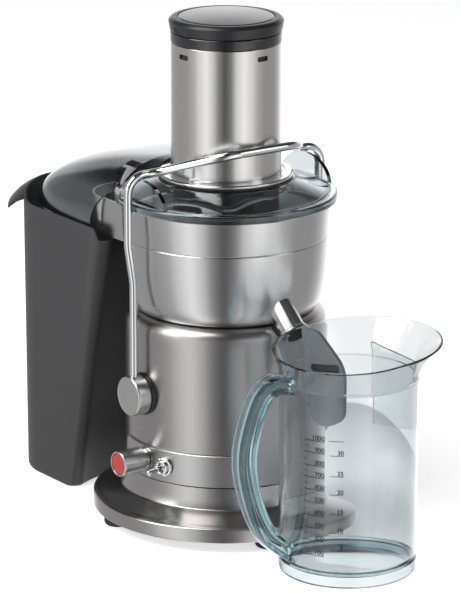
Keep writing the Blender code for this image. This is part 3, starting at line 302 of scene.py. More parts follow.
def make_moulding_group():
    """Moulded plastic: a fine pebble over a soft cloudiness."""
    group, given, out = new_group(
        "moulded_surface", [("Scale", 900.0), ("Rough", 0.4), ("Rough Spread", 0.1)],
        [("Roughness", "NodeSocketFloat"), ("Height", "NodeSocketFloat"), ("Tone", "NodeSocketFloat")])
    vector = stretched(group, (1, 1, 1))
    pebble = noise_node(group, vector, given.outputs["Scale"], 2.0)
    clouds = noise_node(group, vector, 22.0, 4.0)
    spread = math_node(group, "MULTIPLY", math_node(group, "SUBTRACT", clouds, 0.5),
                       given.outputs["Rough Spread"])
    group.links.new(math_node(group, "ADD", given.outputs["Rough"], spread), out.inputs["Roughness"])
    group.links.new(pebble, out.inputs["Height"])
    group.links.new(clouds, out.inputs["Tone"])
    return group


def make_edge_group():
    """A mask of the worn edges, broken up by noise."""
    group, given, out = new_group("edge_wear", [("Amount", 0.5)], [("Mask", "NodeSocketFloat")])
    above = math_node(group, "SUBTRACT", wired(group, "NewGeometry").outputs["Pointiness"], 0.52)
    raised = math_node(group, "MULTIPLY", above, 14.0, True)
    patches = noise_node(group, stretched(group, (1, 1, 1)), 120.0, 3.0)
    share = math_node(group, "MULTIPLY", patches, given.outputs["Amount"])
    mask = math_node(group, "MULTIPLY", raised, share, True)
    group.links.new(mask, out.inputs["Mask"])
    return group


lathe_grain = make_grain_group("lathe_grain", (4.0, 4.0, 2600.0))
face_grain = make_grain_group("face_grain", (2200.0, 60.0, 60.0))
moulded_surface = make_moulding_group()
edge_wear = make_edge_group()


def started(name, colour, **values):
    """A material whose shader has these uniform values."""
    finish = bpy.data.materials.new(name)
    finish.use_nodes = True
    tree = finish.node_tree
    shader = tree.nodes["Principled BSDF"]
    shader.inputs["Base Color"].default_value = (*colour, 1)
    for label, value in values.items():
        shader.inputs[label.replace("_", " ")].default_value = value
    finish.diffuse_color = (*colour, 1)
    return finish, tree, shader


def toned(tree, shader, mask, dark, light):
    """Base colour between two tones by a mask."""
    tone = mixed(tree, mask, (*dark, 1), (*light, 1))
    tree.links.new(tone, shader.inputs["Base Color"])
    return tone


def bumped(tree, shader, height, strength, distance):
    bump = wired(tree, "Bump", {"Strength": strength, "Distance": distance, "Height": height})
    tree.links.new(bump.outputs["Normal"], shader.inputs["Normal"])


def use_group(tree, group, **values):
    """Place a shared group in a material with its own values."""
    inputs = {label.replace("_", " "): value for label, value in values.items()}
    return wired(tree, "Group", inputs, node_tree=group)


def steel(name, tone, rough, spread=0.12, grain=None, contrast=0.10, streak=0.0, bump=0.12):
    """Brushed stainless steel; streak draws the highlights out across the brushing."""
    finish, tree, shader = started(name, tone, Metallic=1.0, Anisotropic=streak, Anisotropic_Rotation=0.25)
    group = use_group(tree, grain or lathe_grain, Rough=rough, Rough_Spread=spread)
    tree.links.new(group.outputs["Roughness"], shader.inputs["Roughness"])
    toned(tree, shader, group.outputs["Tone"], [t * (1 - contrast) for t in tone],
          [min(1.0, t * (1 + contrast)) for t in tone])
    bumped(tree, shader, group.outputs["Height"], bump, 0.00008)
    if streak:
        tangent = wired(tree, "Tangent", direction_type="RADIAL", axis="Z")
        tree.links.new(tangent.outputs["Tangent"], shader.inputs["Tangent"])
    return finish


def plastic(name, tone, rough, scale=900.0, spread=0.12, bump=0.15, contrast=0.12, wear=0.35, coat=0.0):
    """Opaque moulded plastic or rubber whose edges are a little worn."""
    finish, tree, shader = started(name, tone, Coat_Weight=coat, Coat_Roughness=0.08, Specular_IOR_Level=0.5)
    group = use_group(tree, moulded_surface, Scale=scale, Rough=rough, Rough_Spread=spread)
    tree.links.new(group.outputs["Roughness"], shader.inputs["Roughness"])
    base = toned(tree, shader, group.outputs["Tone"], [t * (1 - contrast) for t in tone],
                 [t * (1 + contrast) for t in tone])
    mask = use_group(tree, edge_wear, Amount=wear).outputs["Mask"]
    worn = mixed(tree, mask, base, (*[min(1.0, t * 2.2 + 0.02) for t in tone], 1))
    tree.links.new(worn, shader.inputs["Base Color"])
    bumped(tree, shader, group.outputs["Height"], bump, 0.00012)
    return finish


def clear(name, tone, thick_tone, density, rough=0.03, spread=0.05, bump=0.02, index=1.49):
    """Clear plastic that grows darker where the eye looks through more of it."""
    finish, tree, shader = started(name, tone, Transmission_Weight=1.0, IOR=index)
    group = use_group(tree, moulded_surface, Scale=60.0, Rough=rough, Rough_Spread=spread)
    tree.links.new(group.outputs["Roughness"], shader.inputs["Roughness"])
    toned(tree, shader, group.outputs["Tone"], [t * 0.97 for t in tone], tone)
    bumped(tree, shader, group.outputs["Tone"], bump, 0.0004)
    depth = wired(tree, "VolumeAbsorption", {"Color": (*thick_tone, 1), "Density": density})
    tree.links.new(depth.outputs["Volume"], tree.nodes["Material Output"].inputs["Volume"])
    return finish


barrel_steel = steel("barrel_steel", (0.42, 0.405, 0.40), 0.30, streak=0.6, bump=0.05)
bowl_steel = steel("bowl_steel", (0.56, 0.555, 0.55), 0.24, streak=0.6, bump=0.05)
sleeve_steel = steel("sleeve_steel", (0.60, 0.59, 0.58), 0.22, streak=0.7, contrast=0.12, bump=0.05)
skirt_steel = steel("skirt_steel", (0.46, 0.445, 0.44), 0.22, spread=0.05, contrast=0.06, bump=0.02)
panel_steel = steel("panel_steel", (0.47, 0.465, 0.46), 0.30, contrast=0.07, bump=0.03)
knob_steel = steel("knob_steel", (0.60, 0.60, 0.59), 0.30, grain=face_grain)
polished_steel = steel("polished_steel", (0.72, 0.72, 0.72), 0.10, spread=0.04, grain=face_grain,
                       contrast=0.03, bump=0.02)
# Painted light: the basket's steel is lighter than the other steel to stand for light inside the bowl.
basket_steel = steel("basket_steel", (0.75, 0.74, 0.73), 0.42, contrast=0.2)
ring_steel = steel("ring_steel", (0.68, 0.68, 0.68), 0.14, spread=0.06, contrast=0.05, bump=0.03)
charcoal = plastic("charcoal_plastic", (0.036, 0.036, 0.038), 0.46, scale=1400.0, bump=0.22)
cap_plastic = plastic("cap_plastic", (0.014, 0.0145, 0.016), 0.34, scale=1600.0, bump=0.10)
cap_gloss = plastic("cap_gloss", (0.016, 0.016, 0.018), 0.16, scale=1600.0, bump=0.03)
black_gloss = plastic("black_gloss", (0.010, 0.010, 0.011), 0.14, bump=0.03, coat=0.5)
black_plastic = plastic("black_plastic", (0.014, 0.014, 0.015), 0.42)
rubber = plastic("foot_rubber", (0.016, 0.016, 0.017), 0.72, scale=700.0, bump=0.35)
red_button = plastic("red_button", (0.40, 0.035, 0.035), 0.33, bump=0.08)
guide_plastic = plastic("guide_plastic", (0.085, 0.098, 0.108), 0.38, scale=1200.0)
ink = plastic("mark_ink", (0.012, 0.014, 0.016), 0.6)
copper = plastic("wound_copper", (0.55, 0.25, 0.12), 0.4, scale=500.0)
board_green = plastic("board_green", (0.03, 0.12, 0.05), 0.5)
clear_lid = clear("clear_lid", (0.95, 0.96, 0.965), (0.12, 0.38, 0.44), 45.0, index=1.65)
smoky_duct = clear("smoky_duct", (0.72, 0.72, 0.75), (0.20, 0.30, 0.36), 60.0, rough=0.06, index=1.75)
clear_jug = clear("clear_jug", (0.865, 0.862, 0.868), (0.10, 0.38, 0.45), 60.0)
clear_plate = clear("clear_plate", (0.97, 0.975, 0.98), (0.10, 0.38, 0.45), 35.0)
clear_handle = clear("clear_handle", (0.84, 0.88, 0.89), (0.10, 0.38, 0.45), 75.0)

# ---- base -------------------------------------------------------------------------------------
UNDER = 0.0090
SKIRT_R = 0.1102
skirt = lathed([
    (0.1074, UNDER, 0), (SKIRT_R - 0.0004, UNDER, 0.0004), (SKIRT_R, UNDER + 0.0010, 0.0005),
    (SKIRT_R, 0.0205, 0.0018), (SKIRT_R - 0.0022, 0.0217, 0.0012), (0.1042, 0.0228, 0.0010),
    (0.0886, 0.0293, 0.0006), (0.0875, 0.0300, 0.0005), (0.0852, 0.0365, 0.0030),
    (0.0833, 0.0466, 0.0002), (0.0806, 0.0466, 0), (0.0806, 0.0340, 0.002), (0.0845, 0.0272, 0.002),
    (0.1034, 0.0200, 0.002), (0.1074, 0.0185, 0.002)], closed=True)
piece("skirt", skirt, skirt_steel, "base", ["base_skirt"])
for i in range(4):
    angle = radians(-104 + 90 * i)
    where = MACHINE @ Matrix.Translation((0.0955 * cos(angle), 0.0955 * sin(angle), 0))
    foot = lathed([(0, 0.0006, 0), (0.0070, 0.0006, 0.0004), (0.0076, 0, 0.0004), (0.0100, 0, 0.0016),
                   (0.0115, 0.0022, 0.0016), (0.0115, 0.0087, 0.0004), (0, 0.0087, 0)], where, SMALL_ROUND)
    piece("rubber_foot_%d" % (i + 1), foot, rubber, "base", ["foot_%d" % (i + 1)])

# ---- motor housing ----------------------------------------------------------------------------
SPOUT_END = Vector((0.0965, 0.0, 0.1756))
SPOUT_DIP = radians(41.3)
SPOUT_AXIS = Vector((cos(SPOUT_DIP), 0, -sin(SPOUT_DIP)))
spout_frame = along(SPOUT_END, SPOUT_AXIS, Vector((0, 1, 0)))
SPOUT_ROUND = 64        # steps round the hollow that the spout lies in
HOLLOW_R = 0.0141
housing = lathed([
    (0.0113, DECK_Z, 0), (0.0735, DECK_Z, 0.0016), (0.0790, 0.1775, 0.0030), (0.0820, 0.1735, 0.0034),
    (BARREL_R, 0.1680, 0.0040), (BARREL_R, 0.0470, 0.0004), (0.0812, 0.0470, 0), (0.0812, 0.1675, 0.004),
    (0.0800, 0.1717, 0.003), (0.0715, 0.1770, 0.0016), (0.0113, 0.1770, 0)], closed=True)
notch = round_block(HOLLOW_R, -0.06, 0.02, spout_frame, SPOUT_ROUND)
piece("housing_barrel", worked(housing, (CUT, notch)), barrel_steel, "base",
      ["motor_housing"])
# Painted shade: a black plastic lining inside the spout's hollow stands in for the shade in the notch.
notch_painted_shade = lathed([(HOLLOW_R, -0.0330, 0), (0.0160, -0.0330, 0), (0.0160, 0.0160, 0), (HOLLOW_R, 0.0160, 0)],
                spout_frame, SPOUT_ROUND, closed=True)
inside_barrel = lathed([(0, 0.10, 0), (0.0829, 0.10, 0), (0.0829, 0.168, 0.004), (0.0816, 0.1735, 0.003),
                        (0.0786, 0.1772, 0.002), (0.0733, 0.1792, 0.001), (0, 0.1792, 0)])
piece("spout_pocket", worked(notch_painted_shade, (KEEP, inside_barrel)), black_plastic, "base")

# ---- control panel ----------------------------------------------------------------------------
PANEL_FROM, PANEL_TO = radians(-20), radians(66)
PANEL_LOW, PANEL_HIGH, PANEL_CORNER = 0.0475, 0.0745, 0.006


def panel_rings():
    """Upright sections of the curved plate, drawn in toward its rounded corners."""
    edge = 0.0005
    corner_turn = PANEL_CORNER / PANEL_OUT
    turns = [(PANEL_FROM + corner_turn * (1 - cos(b)), PANEL_CORNER * (1 - sin(b)))
             for b in (pi / 2 * i / 8 for i in range(9))]
    ends = [(PANEL_TO + PANEL_FROM - turn, inset) for turn, inset in reversed(turns)]
    width = PANEL_TO - PANEL_FROM - 2 * corner_turn
    middle = [(PANEL_FROM + corner_turn + width * i / 48, 0.0) for i in range(1, 48)]
    for turn, inset in turns + middle + ends:
        low, high = PANEL_LOW + inset, PANEL_HIGH - inset
        section = [(PANEL_IN, low), (PANEL_OUT - edge, low), (PANEL_OUT, low + edge), (PANEL_OUT, high - edge),
                   (PANEL_OUT - edge, high), (PANEL_IN, high)]
        yield [(r * sin(turn), -r * cos(turn), z) for r, z in section]


piece("control_plate", skinned(list(panel_rings())), panel_steel, "base", ["control_panel"])

# ---- power button and toggle ------------------------------------------------------------------
button_frame = outward(radians(2), 0.0625)
PLATE = PANEL_OUT + 0.0003      # just clear of the panel's face
bush = lathed([(0.0055, PLATE, 0), (0.0091, PLATE, 0.0003), (0.0091, PLATE + 0.009, 0.0005),
               (0.0055, PLATE + 0.009, 0)], button_frame, SMALL_ROUND, closed=True)
piece("button_bush", bush, polished_steel, "base", ["power_bush"])
cup = lathed([(0, 0.1085, 0), (0.0089, 0.1085, 0), (0.0089, 0.1108, 0.0003), (0.0096, 0.1110, 0.0004),
              (0.0106, 0.1104, 0.0006), (0.0106, 0.0889, 0.0004), (0.0097, 0.0889, 0), (0.0097, 0.1065, 0),
              (0, 0.1065, 0)], button_frame, SMALL_ROUND)
piece("button_cup", cup, knob_steel, "button", ["power_button"])
red = lathed([(0, 0.1088, 0), (0.0086, 0.1088, 0.0002), (0.0086, 0.1104, 0.0005), (0.0060, 0.1107, 0.0030),
              (0, 0.1108, 0)], button_frame, SMALL_ROUND)
piece("button_face", red, red_button, "button", ["power_button_cap"])
toggle_frame = outward(radians(18.5), 0.0610)
bush = lathed([(0, PLATE, 0), (0.0080, PLATE, 0.0002), (0.0080, PLATE + 0.0018, 0.0006),
               (0.0062, PLATE + 0.0024, 0.0004), (0.0060, PLATE + 0.0056, 0.0005), (0.0044, PLATE + 0.0060, 0.0005),
               (0.0036, PLATE + 0.0040, 0.0003), (0.0030, PLATE + 0.0016, 0), (0, PLATE + 0.0016, 0)],
              toggle_frame, SMALL_ROUND)
piece("toggle_nut", bush, polished_steel, "base", ["toggle_bush"])
lever = lathed([(0, PLATE + 0.0024, 0), (0.0012, PLATE + 0.0024, 0.0003), (0.0015, PLATE + 0.0048, 0.0010),
                (0.0017, PLATE + 0.0100, 0.0020), (0.0025, 0.1040, 0.0020), (0.0027, 0.1062, 0.0016),
                (0.0020, 0.1077, 0.0012), (0, 0.1080, 0)], toggle_frame, 40)
piece("toggle_stick", lever, polished_steel, "toggle", ["toggle_lever"])
gland = lathed([(0, 0.1105, 0), (0.0052, 0.1105, 0.0004), (0.0052, 0.1140, 0.0012), (0.0040, 0.1188, 0.0010),
                (0.0030, 0.1195, 0.0004), (0, 0.1193, 0)], outward(radians(230), (UNDER + 0.0215) / 2), 40)
piece("cord_bush", gland, rubber, "base", ["cord_gland"])

# ---- locking arm ------------------------------------------------------------------------------
PIVOT_Z = 0.1171
LEG_Y, BOW_Y, BAR_Z = 0.09155, 0.09675, 0.3008
ROD_R, KNOB_R, BOSS_R, KNOB_ROUND = 0.0035, 0.0165, 0.0175, 96


def bent_path(corners, steps=14):
    """Points along a rod whose corners (point, radius) are bent to that radius."""
    path = [corners[0][0]]
    for (before, _), (corner, radius), (after, _) in zip(corners, corners[1:], corners[2:]):
        back = (before - corner).normalized()
        ahead = (after - corner).normalized()
        half = back.angle(ahead) / 2
        reach = radius / tan(half)
        centre = corner + (back + ahead).normalized() * (radius / sin(half))
        start = corner + back * reach - centre
        turn = start.rotation_difference(corner + ahead * reach - centre)
        for i in range(steps + 1):
            spoke = start.copy()
            spoke.rotate(Matrix.Identity(3).to_quaternion().slerp(turn, i / steps))
            path.append(centre + spoke)
    return path + [corners[-1][0]]


half_arm = [(Vector((0, -LEG_Y, PIVOT_Z + 0.0085)), 0), (Vector((0, -LEG_Y, 0.212)), 0.05),
            (Vector((0, -BOW_Y, 0.244)), 0.05), (Vector((0, -BOW_Y, BAR_Z)), 0.015),
            (Vector((0, -0.070, BAR_Z)), 0.018), (Vector((0.052, -0.036, BAR_Z + 0.37 * 0.052)), 0.028)]
arm = half_arm + [(Vector((p.x, -p.y, p.z)), radius) for p, radius in reversed(half_arm)]
piece("arm_rod", swept(bent_path(arm), ROD_R), polished_steel, "arm", ["locking_arm"])
for name, side in (("front", -1), ("rear", 1)):
    out = along(Vector((0, 0, PIVOT_Z)), Vector((0, side, 0)), Vector((side, 0, 0)))
    knob = lathed([(0, 0.0852, 0), (0.0158, 0.0852, 0.0004), (KNOB_R, 0.0860, 0.0006), (KNOB_R, 0.0968, 0.0012),
                   (0.0154, 0.0979, 0.0008), (0.0140, 0.0979, 0.0004), (0.0136, 0.0977, 0.0004), (0, 0.0977, 0)],
                  out, KNOB_ROUND)
    piece("knob_" + name, knob, knob_steel, "arm", ["arm_knob_" + name])
    boss = lathed([(0.0043, 0.0790, 0), (BOSS_R, 0.0790, 0), (BOSS_R, 0.0849, 0.0005), (0.0043, 0.0849, 0)],
                  out, KNOB_ROUND, closed=True)
    core = round_block(PANEL_IN, PIVOT_Z - 0.03, PIVOT_Z + 0.03)
    piece("boss_" + name, worked(boss, (CUT, core)), black_plastic, "base",
          ["pivot_boss_" + name])

# ---- filter bowl ------------------------------------------------------------------------------
BOWL_FLOOR, BOWL_WALL = 0.1800, 0.0016


def bowl_corners(wall):
    """The bowl's profile, drawn in by a wall."""
    return [(0, BOWL_FLOOR + wall, 0), (0.0728 - wall, BOWL_FLOOR + wall, 0.0024),
            (0.0752 - wall * 0.8, BOWL_FLOOR + 0.0016 + wall * 0.6, 0.0020), (0.0792 - wall, 0.1895, 0.005),
            (0.0818 - wall, 0.2050, 0.008), (0.0834 - wall, 0.2230, 0.008), (0.0843 - wall, 0.2408, 0.0004),
            (0.0838 - wall, 0.2415, 0.0002), (0.0844 - wall, 0.2422, 0.0004),
            (0.0855 - wall, 0.2620, 0.004)]


def neck_outline(half, end, corner):
    """Plan of the neck that carries the pulp to the bin."""
    bend = Vector((corner - end, corner - half))
    low = arc(bend, corner, -pi / 2, -pi, 20)
    return [(0.030, -half)] + low + [(x, -y) for x, y in reversed(low)] + [(0.030, half)]


def spout_rod(inside, low, high):
    return lathed([(0, low, 0), (inside, low, 0), (inside, high, 0.0003), (0, high, 0)], spout_frame, 72)


bowl = lathed(bowl_corners(0) + [(0.0858, 0.2698, 0.0003), (0.0856, RIM_Z, 0.0002), (0, RIM_Z, 0)])
bowl_inside = lathed(bowl_corners(BOWL_WALL) + [(0.0842, RIM_Z + 0.003, 0), (0, RIM_Z + 0.003, 0)])
bowl = worked(
    bowl, (JOIN, slab(neck_outline(0.066, 0.119, 0.034), 0.2312, 0.2620, MACHINE)),
    (JOIN, spout_rod(0.0106, -0.030, 0)), (CUT, bowl_inside),
    (CUT, slab(neck_outline(0.0644, 0.1174, 0.0324), 0.2328, 0.290, MACHINE)),
    (CUT, spout_rod(0.0092, -0.028, 0.01)),
    (CUT, round_block(0.017, 0.17, 0.19, MACHINE, 48)))
piece("bowl", bowl, bowl_steel, "base", ["filter_bowl"], sharp=28)
collar = lathed([(0.0109, -0.0040, 0), (0.0122, -0.0040, 0.0004), (0.0122, 0.0010, 0.0005), (0.0109, 0.0010, 0.0002)],
                spout_frame, 72, closed=True)
piece("spout_tip", collar, clear_jug, "base", ["spout_collar"])

# ---- cover ------------------------------------------------------------------------------------
DUCT_END, CREST_X, DUCT_FOOT, DUCT_TOP, DUCT_HALF = 0.2175, -0.062, 0.2345, 0.2960, 0.0727


def duct_section(x, inset):
    """One section of the duct's dome, from one foot over the top to the other."""
    length = DUCT_END - inset + CREST_X
    share = max(0.0, (CREST_X - x) / length)
    half = (DUCT_HALF - inset) * (1 - share ** 4.5) ** (1 / 2.6)
    if x > CREST_X:
        half -= 0.022 * (x - CREST_X) / -CREST_X
    height = (DUCT_TOP - DUCT_FOOT - inset) * (1 - share ** 1.9) ** 0.6
    points = []
    for i in range(49):
        turn = pi * i / 48
        wide = copysign(abs(cos(turn)) ** 0.62, -cos(turn))
        points.append(Vector((x, half * wide, DUCT_FOOT + height * max(0.0, sin(turn)) ** 0.85)))
    drop = Vector((0, 0, inset * 4))
    return [points[0] - drop] + points[1:-1] + [points[-1] - drop]


def duct_block(start, inset):
    """The duct as one solid; inset draws it in for the hollow."""
    far = CREST_X - (DUCT_END - inset + CREST_X) * 0.992
    stations = [start] if start > CREST_X else []
    stations += [CREST_X + (far - CREST_X) * sin(pi / 2 * i / 28) for i in range(29)]
    return skinned([duct_section(x, inset) for x in stations])


def arch_block():
    """The space under the duct's arch, as a bar across the machine."""
    low, foot = DUCT_FOOT + 0.0035, -0.092
    height = RIM_Z + 0.0003
    outline = [(foot, 0.15), (foot, low)]
    outline += [(-0.060 - (-0.060 - foot) * cos(t), low + (height - low) * sin(t))
                for t in (pi / 2 * i / 20 for i in range(1, 21))]
    outline += [(0.08, height), (0.08, 0.15)]
    side_on = MACHINE @ Matrix.Translation((0, 0.1, 0)) @ Matrix.Rotation(pi / 2, 4, "X")
    return slab(outline, 0, 0.2, side_on)


def ear_block(side):
    """One upright half-round ear on the cover's edge."""
    low, top = 0.2751, 0.2964
    outline = [(0.032 * cos(t), low + (top - low) * sin(t)) for t in (pi * i / 40 for i in range(41))]
    start = 0.0803 if side > 0 else -0.0839
    return slab(outline, 0, 0.0036, MACHINE @ Matrix.Translation((0, start + 0.0036, 0))
                @ Matrix.Rotation(pi / 2, 4, "X"))


SPIGOT = 0.0833
LID_FOOT = RIM_Z + 0.0003
lid = lathed([(0, 0.2885, 0), (0.0575, 0.2885, 0.0012), (0.0640, 0.2862, 0.0016), (0.0800, 0.2788, 0.0020),
              (0.0845, 0.2766, 0.0010), (0.0858, 0.2771, 0.0006), (0.0905, 0.2771, 0.0010), (0.0913, 0.2758, 0.0010),
              (0.0913, LID_FOOT + 0.0003, 0.0006), (0.0905, LID_FOOT, 0.0004), (SPIGOT, LID_FOOT, 0),
              (SPIGOT, LID_FOOT - 0.0080, 0.0004), (0, LID_FOOT - 0.0080, 0)])
lid_inside = lathed([(0, 0.2862, 0), (0.0565, 0.2862, 0.001), (0.0630, 0.2838, 0.0016), (0.0790, 0.2763, 0.002),
                     (SPIGOT - 0.0023, 0.2751, 0.002), (SPIGOT - 0.0023, 0.2603, 0), (0, 0.2603, 0)])
dome = worked(duct_block(0.0, 0.0), (CUT, arch_block()))

cover = worked(lid, (JOIN, dome), (JOIN, ear_block(-1)), (JOIN, ear_block(1)),
               (CUT, lid_inside), (CUT, duct_block(CREST_X, 0.0024)),
               (CUT, round_block(0.0437, 0.25, 0.31)), (CUT, round_block(0.0562, 0.2885, 0.31)))
cover_piece = piece("cover", cover, [clear_lid, smoky_duct], "base", ["juicer_cover"], sharp=32)
for face in cover_piece.data.polygons:
    middle = face.center - Vector((MACHINE_X, 0, 0))
    reach = hypot(middle.x, middle.y)
    if middle.x < -0.02 and (reach > 0.0918 or middle.z > 0.2892):
        face.material_index = 1

# ---- chute and pusher -------------------------------------------------------------------------
SLEEVE_FOOT, SLEEVE_TOP = 0.2906, 0.4012
SLEEVE_IN, SLEEVE_R = 0.0440, 0.0452
CHUTE_IN, CHUTE_R, SEAT_R = 0.0410, 0.0434, 0.0545
SLOT_DROP, SLOT_SIZE = 0.008, (0.006, 0.0105, 0.0042, 1)
chute = lathed([
    (CHUTE_IN, 0.2220, 0.0005), (CHUTE_R, 0.2220, 0.0005), (CHUTE_R, 0.2888, 0), (SEAT_R, 0.2888, 0.0004),
    (SEAT_R, 0.2903, 0.0004), (CHUTE_R, 0.2903, 0), (CHUTE_R, SLEEVE_TOP, 0), (CHUTE_IN, SLEEVE_TOP, 0)], closed=True)
piece("chute_tube", chute, black_plastic, "base", ["feed_chute"])
sleeve = lathed([(SLEEVE_IN, SLEEVE_FOOT, 0), (SLEEVE_R, SLEEVE_FOOT, 0), (SLEEVE_R, SLEEVE_TOP - 0.0003, 0.0003),
                 (0.0449, SLEEVE_TOP, 0.0002), (SLEEVE_IN, SLEEVE_TOP, 0)], closed=True)
slots = []
for i in range(4):
    turn = radians(5 + 90 * i)
    where = (SLEEVE_R * cos(turn), SLEEVE_R * sin(turn), SLEEVE_TOP - SLOT_DROP)
    place = (MACHINE @ Matrix.Translation(where) @ Matrix.Rotation(turn, 4, "Z")
             @ Matrix.Diagonal(SLOT_SIZE))
    block = bmesh.new()
    bmesh.ops.create_cube(block, size=1.0)
    upright = [e for e in block.edges if abs(e.verts[0].co.x - e.verts[1].co.x) > 0.5]
    bmesh.ops.bevel(block, geom=upright, offset=0.22, segments=5, profile=0.5, affect="EDGES", material=-1)
    slots.append((CUT, settled(block, place)))
piece("sleeve", worked(sleeve, *slots), sleeve_steel, "base", ["chute_sleeve"])
flange = lathed([(0.0455, SLEEVE_FOOT, 0), (0.0553, SLEEVE_FOOT, 0.0003), (0.0555, 0.2922, 0.0006),
                 (0.0545, 0.2930, 0.0006), (0.0500, 0.2930, 0.001), (0.0480, 0.2924, 0.001), (0.0455, 0.2924, 0)],
                closed=True)
piece("sleeve_flange", flange, ring_steel, "base", ["sleeve_base_ring"])
collar = lathed([(CHUTE_IN, 0.4015, 0.0003), (0.0450, 0.4015, 0.0004), (0.0456, 0.4021, 0.0006),
                 (0.0456, 0.4092, 0.0006), (0.0450, 0.4100, 0.0005), (CHUTE_IN, 0.4100, 0.0003)], closed=True)
piece("chute_collar", collar, black_gloss, "base", ["chute_ring"])
cap = lathed([(0, 0.4103, 0), (0.0452, 0.4103, 0.0003), (0.0456, 0.4110, 0.0005), (0.0467, 0.4172, 0.0008),
              (0.0468, 0.4184, 0.0006), (0.0446, 0.4208, 0.0010), (0.0420, 0.4212, 0.0008), (0.0398, 0.4212, 0.0003),
              (0.0398, 0.4192, 0), (0, 0.4192, 0)])
thumb = bmesh.new()
bmesh.ops.create_cube(thumb, size=1.0)
bmesh.ops.bevel(thumb, geom=thumb.edges[:], offset=0.12, segments=3, profile=0.5, affect="EDGES", material=-1)
settled(thumb, MACHINE @ Matrix.Translation((0, -0.0466, 0.4125)) @ Matrix.Diagonal((0.016, 0.0042, 0.0072, 1)))
piece("pusher_lid", worked(cap, (CUT, thumb)), cap_plastic, "pusher", ["pusher_cap"])
top_disc = lathed([(0, 0.4195, 0), (0.0394, 0.4195, 0), (0.0394, 0.4206, 0.0004), (0.0380, 0.4214, 0.0008),
                   (0.0277, 0.4221, 0.010), (0.0140, 0.4228, 0.010), (0, 0.4230, 0)], fine=8)
piece("pusher_disc", top_disc, cap_gloss, "pusher", ["pusher_cap_disc"])

# ---- pulp bin ---------------------------------------------------------------------------------
BIN_HALF, BIN_END, BIN_CORNER, BIN_WALL, BIN_RIM = 0.0766, 0.222, 0.050, 0.0026, 0.2372
FOOT_HUG, RIM_HUG = 0.135, 0.0975       # radius of the hollow that hugs the machine, low and high


def bin_outline(inset, hug):
    """Plan of the bin: a hollow round the machine, its rounded ends, sides and outer corners."""
    half, end, corner = BIN_HALF - inset, BIN_END - inset, BIN_CORNER - inset
    near, hug = 0.0105 - inset, hug + inset
    lean = asin((half - near) / (hug + near))
    centre = (-sqrt((hug + near) ** 2 - (half - near) ** 2), near - half)
    low = arc((0, 0), hug, pi, pi + lean, 14)[:-1]
    low += arc(centre, near, lean, -pi / 2, 12)
    low += [(corner - end + (centre[0] - corner + end) * (1 - i / 6), -half) for i in range(1, 6)]
    low += arc((corner - end, corner - half), corner, -pi / 2, -pi, 24)
    return [(x, -y) for x, y in reversed(low[1:])] + low


def rim_height(x, y):
    """The rim rises to the outer end and dips where the bin meets the machine."""
    rise = min(max((-x - BIN_END + BIN_CORNER * 0.8) / (BIN_CORNER * 0.8), 0.0), 1.0)
    inward = (BIN_HALF - abs(y)) / 0.003 if x > BIN_CORNER * 1.5 - BIN_END else 0.0
    return BIN_RIM + 0.012 * rise ** 1.3 - 0.0105 * min(inward, 1.0)


def level_ring(inset, height):
    """A loop of the bin at one height."""
    return [(x, y, height) for x, y in bin_outline(inset, FOOT_HUG)]


def rim_ring(inset, drop):
    """A loop of the bin that follows its rim."""
    plan = zip(bin_outline(inset, RIM_HUG), bin_outline(0, RIM_HUG))
    return [(x, y, rim_height(u, v) - drop) for (x, y), (u, v) in plan]


RIM_ROUND = [(0, 0.0012), (0.0003, 0.0003), (0.0009, 0), (BIN_WALL - 0.0009, 0), (BIN_WALL - 0.0003, 0.0003),
             (BIN_WALL, 0.0012)]
bin_rings = [level_ring(*low) for low in [(0.0052, 0.0), (0.0024, 0.0007), (0.0014, 0.0022), (0.0012, 0.0042)]]
bin_rings += [rim_ring(*edge) for edge in RIM_ROUND]
bin_rings += [level_ring(inset + BIN_WALL, z) for inset, z in
              [(0.0012, 0.0070), (0.0032, 0.0038), (0.0052, 0.0030)]]
corner_middle = Vector((BIN_CORNER - BIN_END, BIN_CORNER - BIN_HALF, 0))
spokes = [Vector((-sin(b), -cos(b), 0)) for b in
          (radians(32) + radians(58) * i / 22 for i in range(23))]
lip_plan = [(corner_middle, spoke) for spoke in spokes]
lip_plan += [(Vector((c.x, -c.y, 0)), Vector((s.x, -s.y, 0))) for c, s in reversed(lip_plan)]
lip_strip = []
for middle, spoke in lip_plan:
    start = middle + spoke * (BIN_CORNER - BIN_WALL * 0.5)
    start.z = rim_height(start.x, start.y) - 0.0004
    reach = 0.0135 + BIN_WALL * 0.5
    section = [(0.0, 0.0), (0.0, -0.0036), (reach * 0.5, -0.0062), (reach * 0.97, -0.0114), (reach, -0.0110),
               (reach, -0.0098), (reach * 0.97, -0.0092), (reach * 0.72, -0.0052), (reach * 0.45, -0.0023),
               (reach * 0.2, -0.0006)]
    lip_strip.append([start + spoke * out + Vector((0, 0, drop)) for out, drop in section])
piece("bin", worked(skinned(bin_rings), (JOIN, skinned(lip_strip))), charcoal, "bin",
      ["pulp_bin"], sharp=38)

# ---- jug --------------------------------------------------------------------------------------
JUG_R, JUG_WALL, SHOULDER, JUG_RIM, JUG_FLARE = 0.0555, 0.0024, 0.1620, 0.1842, 0.0055
JUG_TURN = radians(85)


def jug_ring(radius, height, rim_share, wall=0.0, count=ROUND):
    """A loop of the jug; rim_share blends from the round body to the lipped, tilted rim."""
    points = []
    for i in range(count):
        turn = tau * i / count
        away = (turn - JUG_TURN + pi) % tau - pi
        bump = max(0.0, cos(away * pi / 2 / JUG_TURN)) ** 1.4 if abs(away) < JUG_TURN else 0.0
        r = radius + 0.0165 * bump * rim_share - wall
        z = height + 0.0055 * cos(away - radians(35)) * rim_share
        points.append(Vector((r * cos(turn), r * sin(turn), z)))
    return points


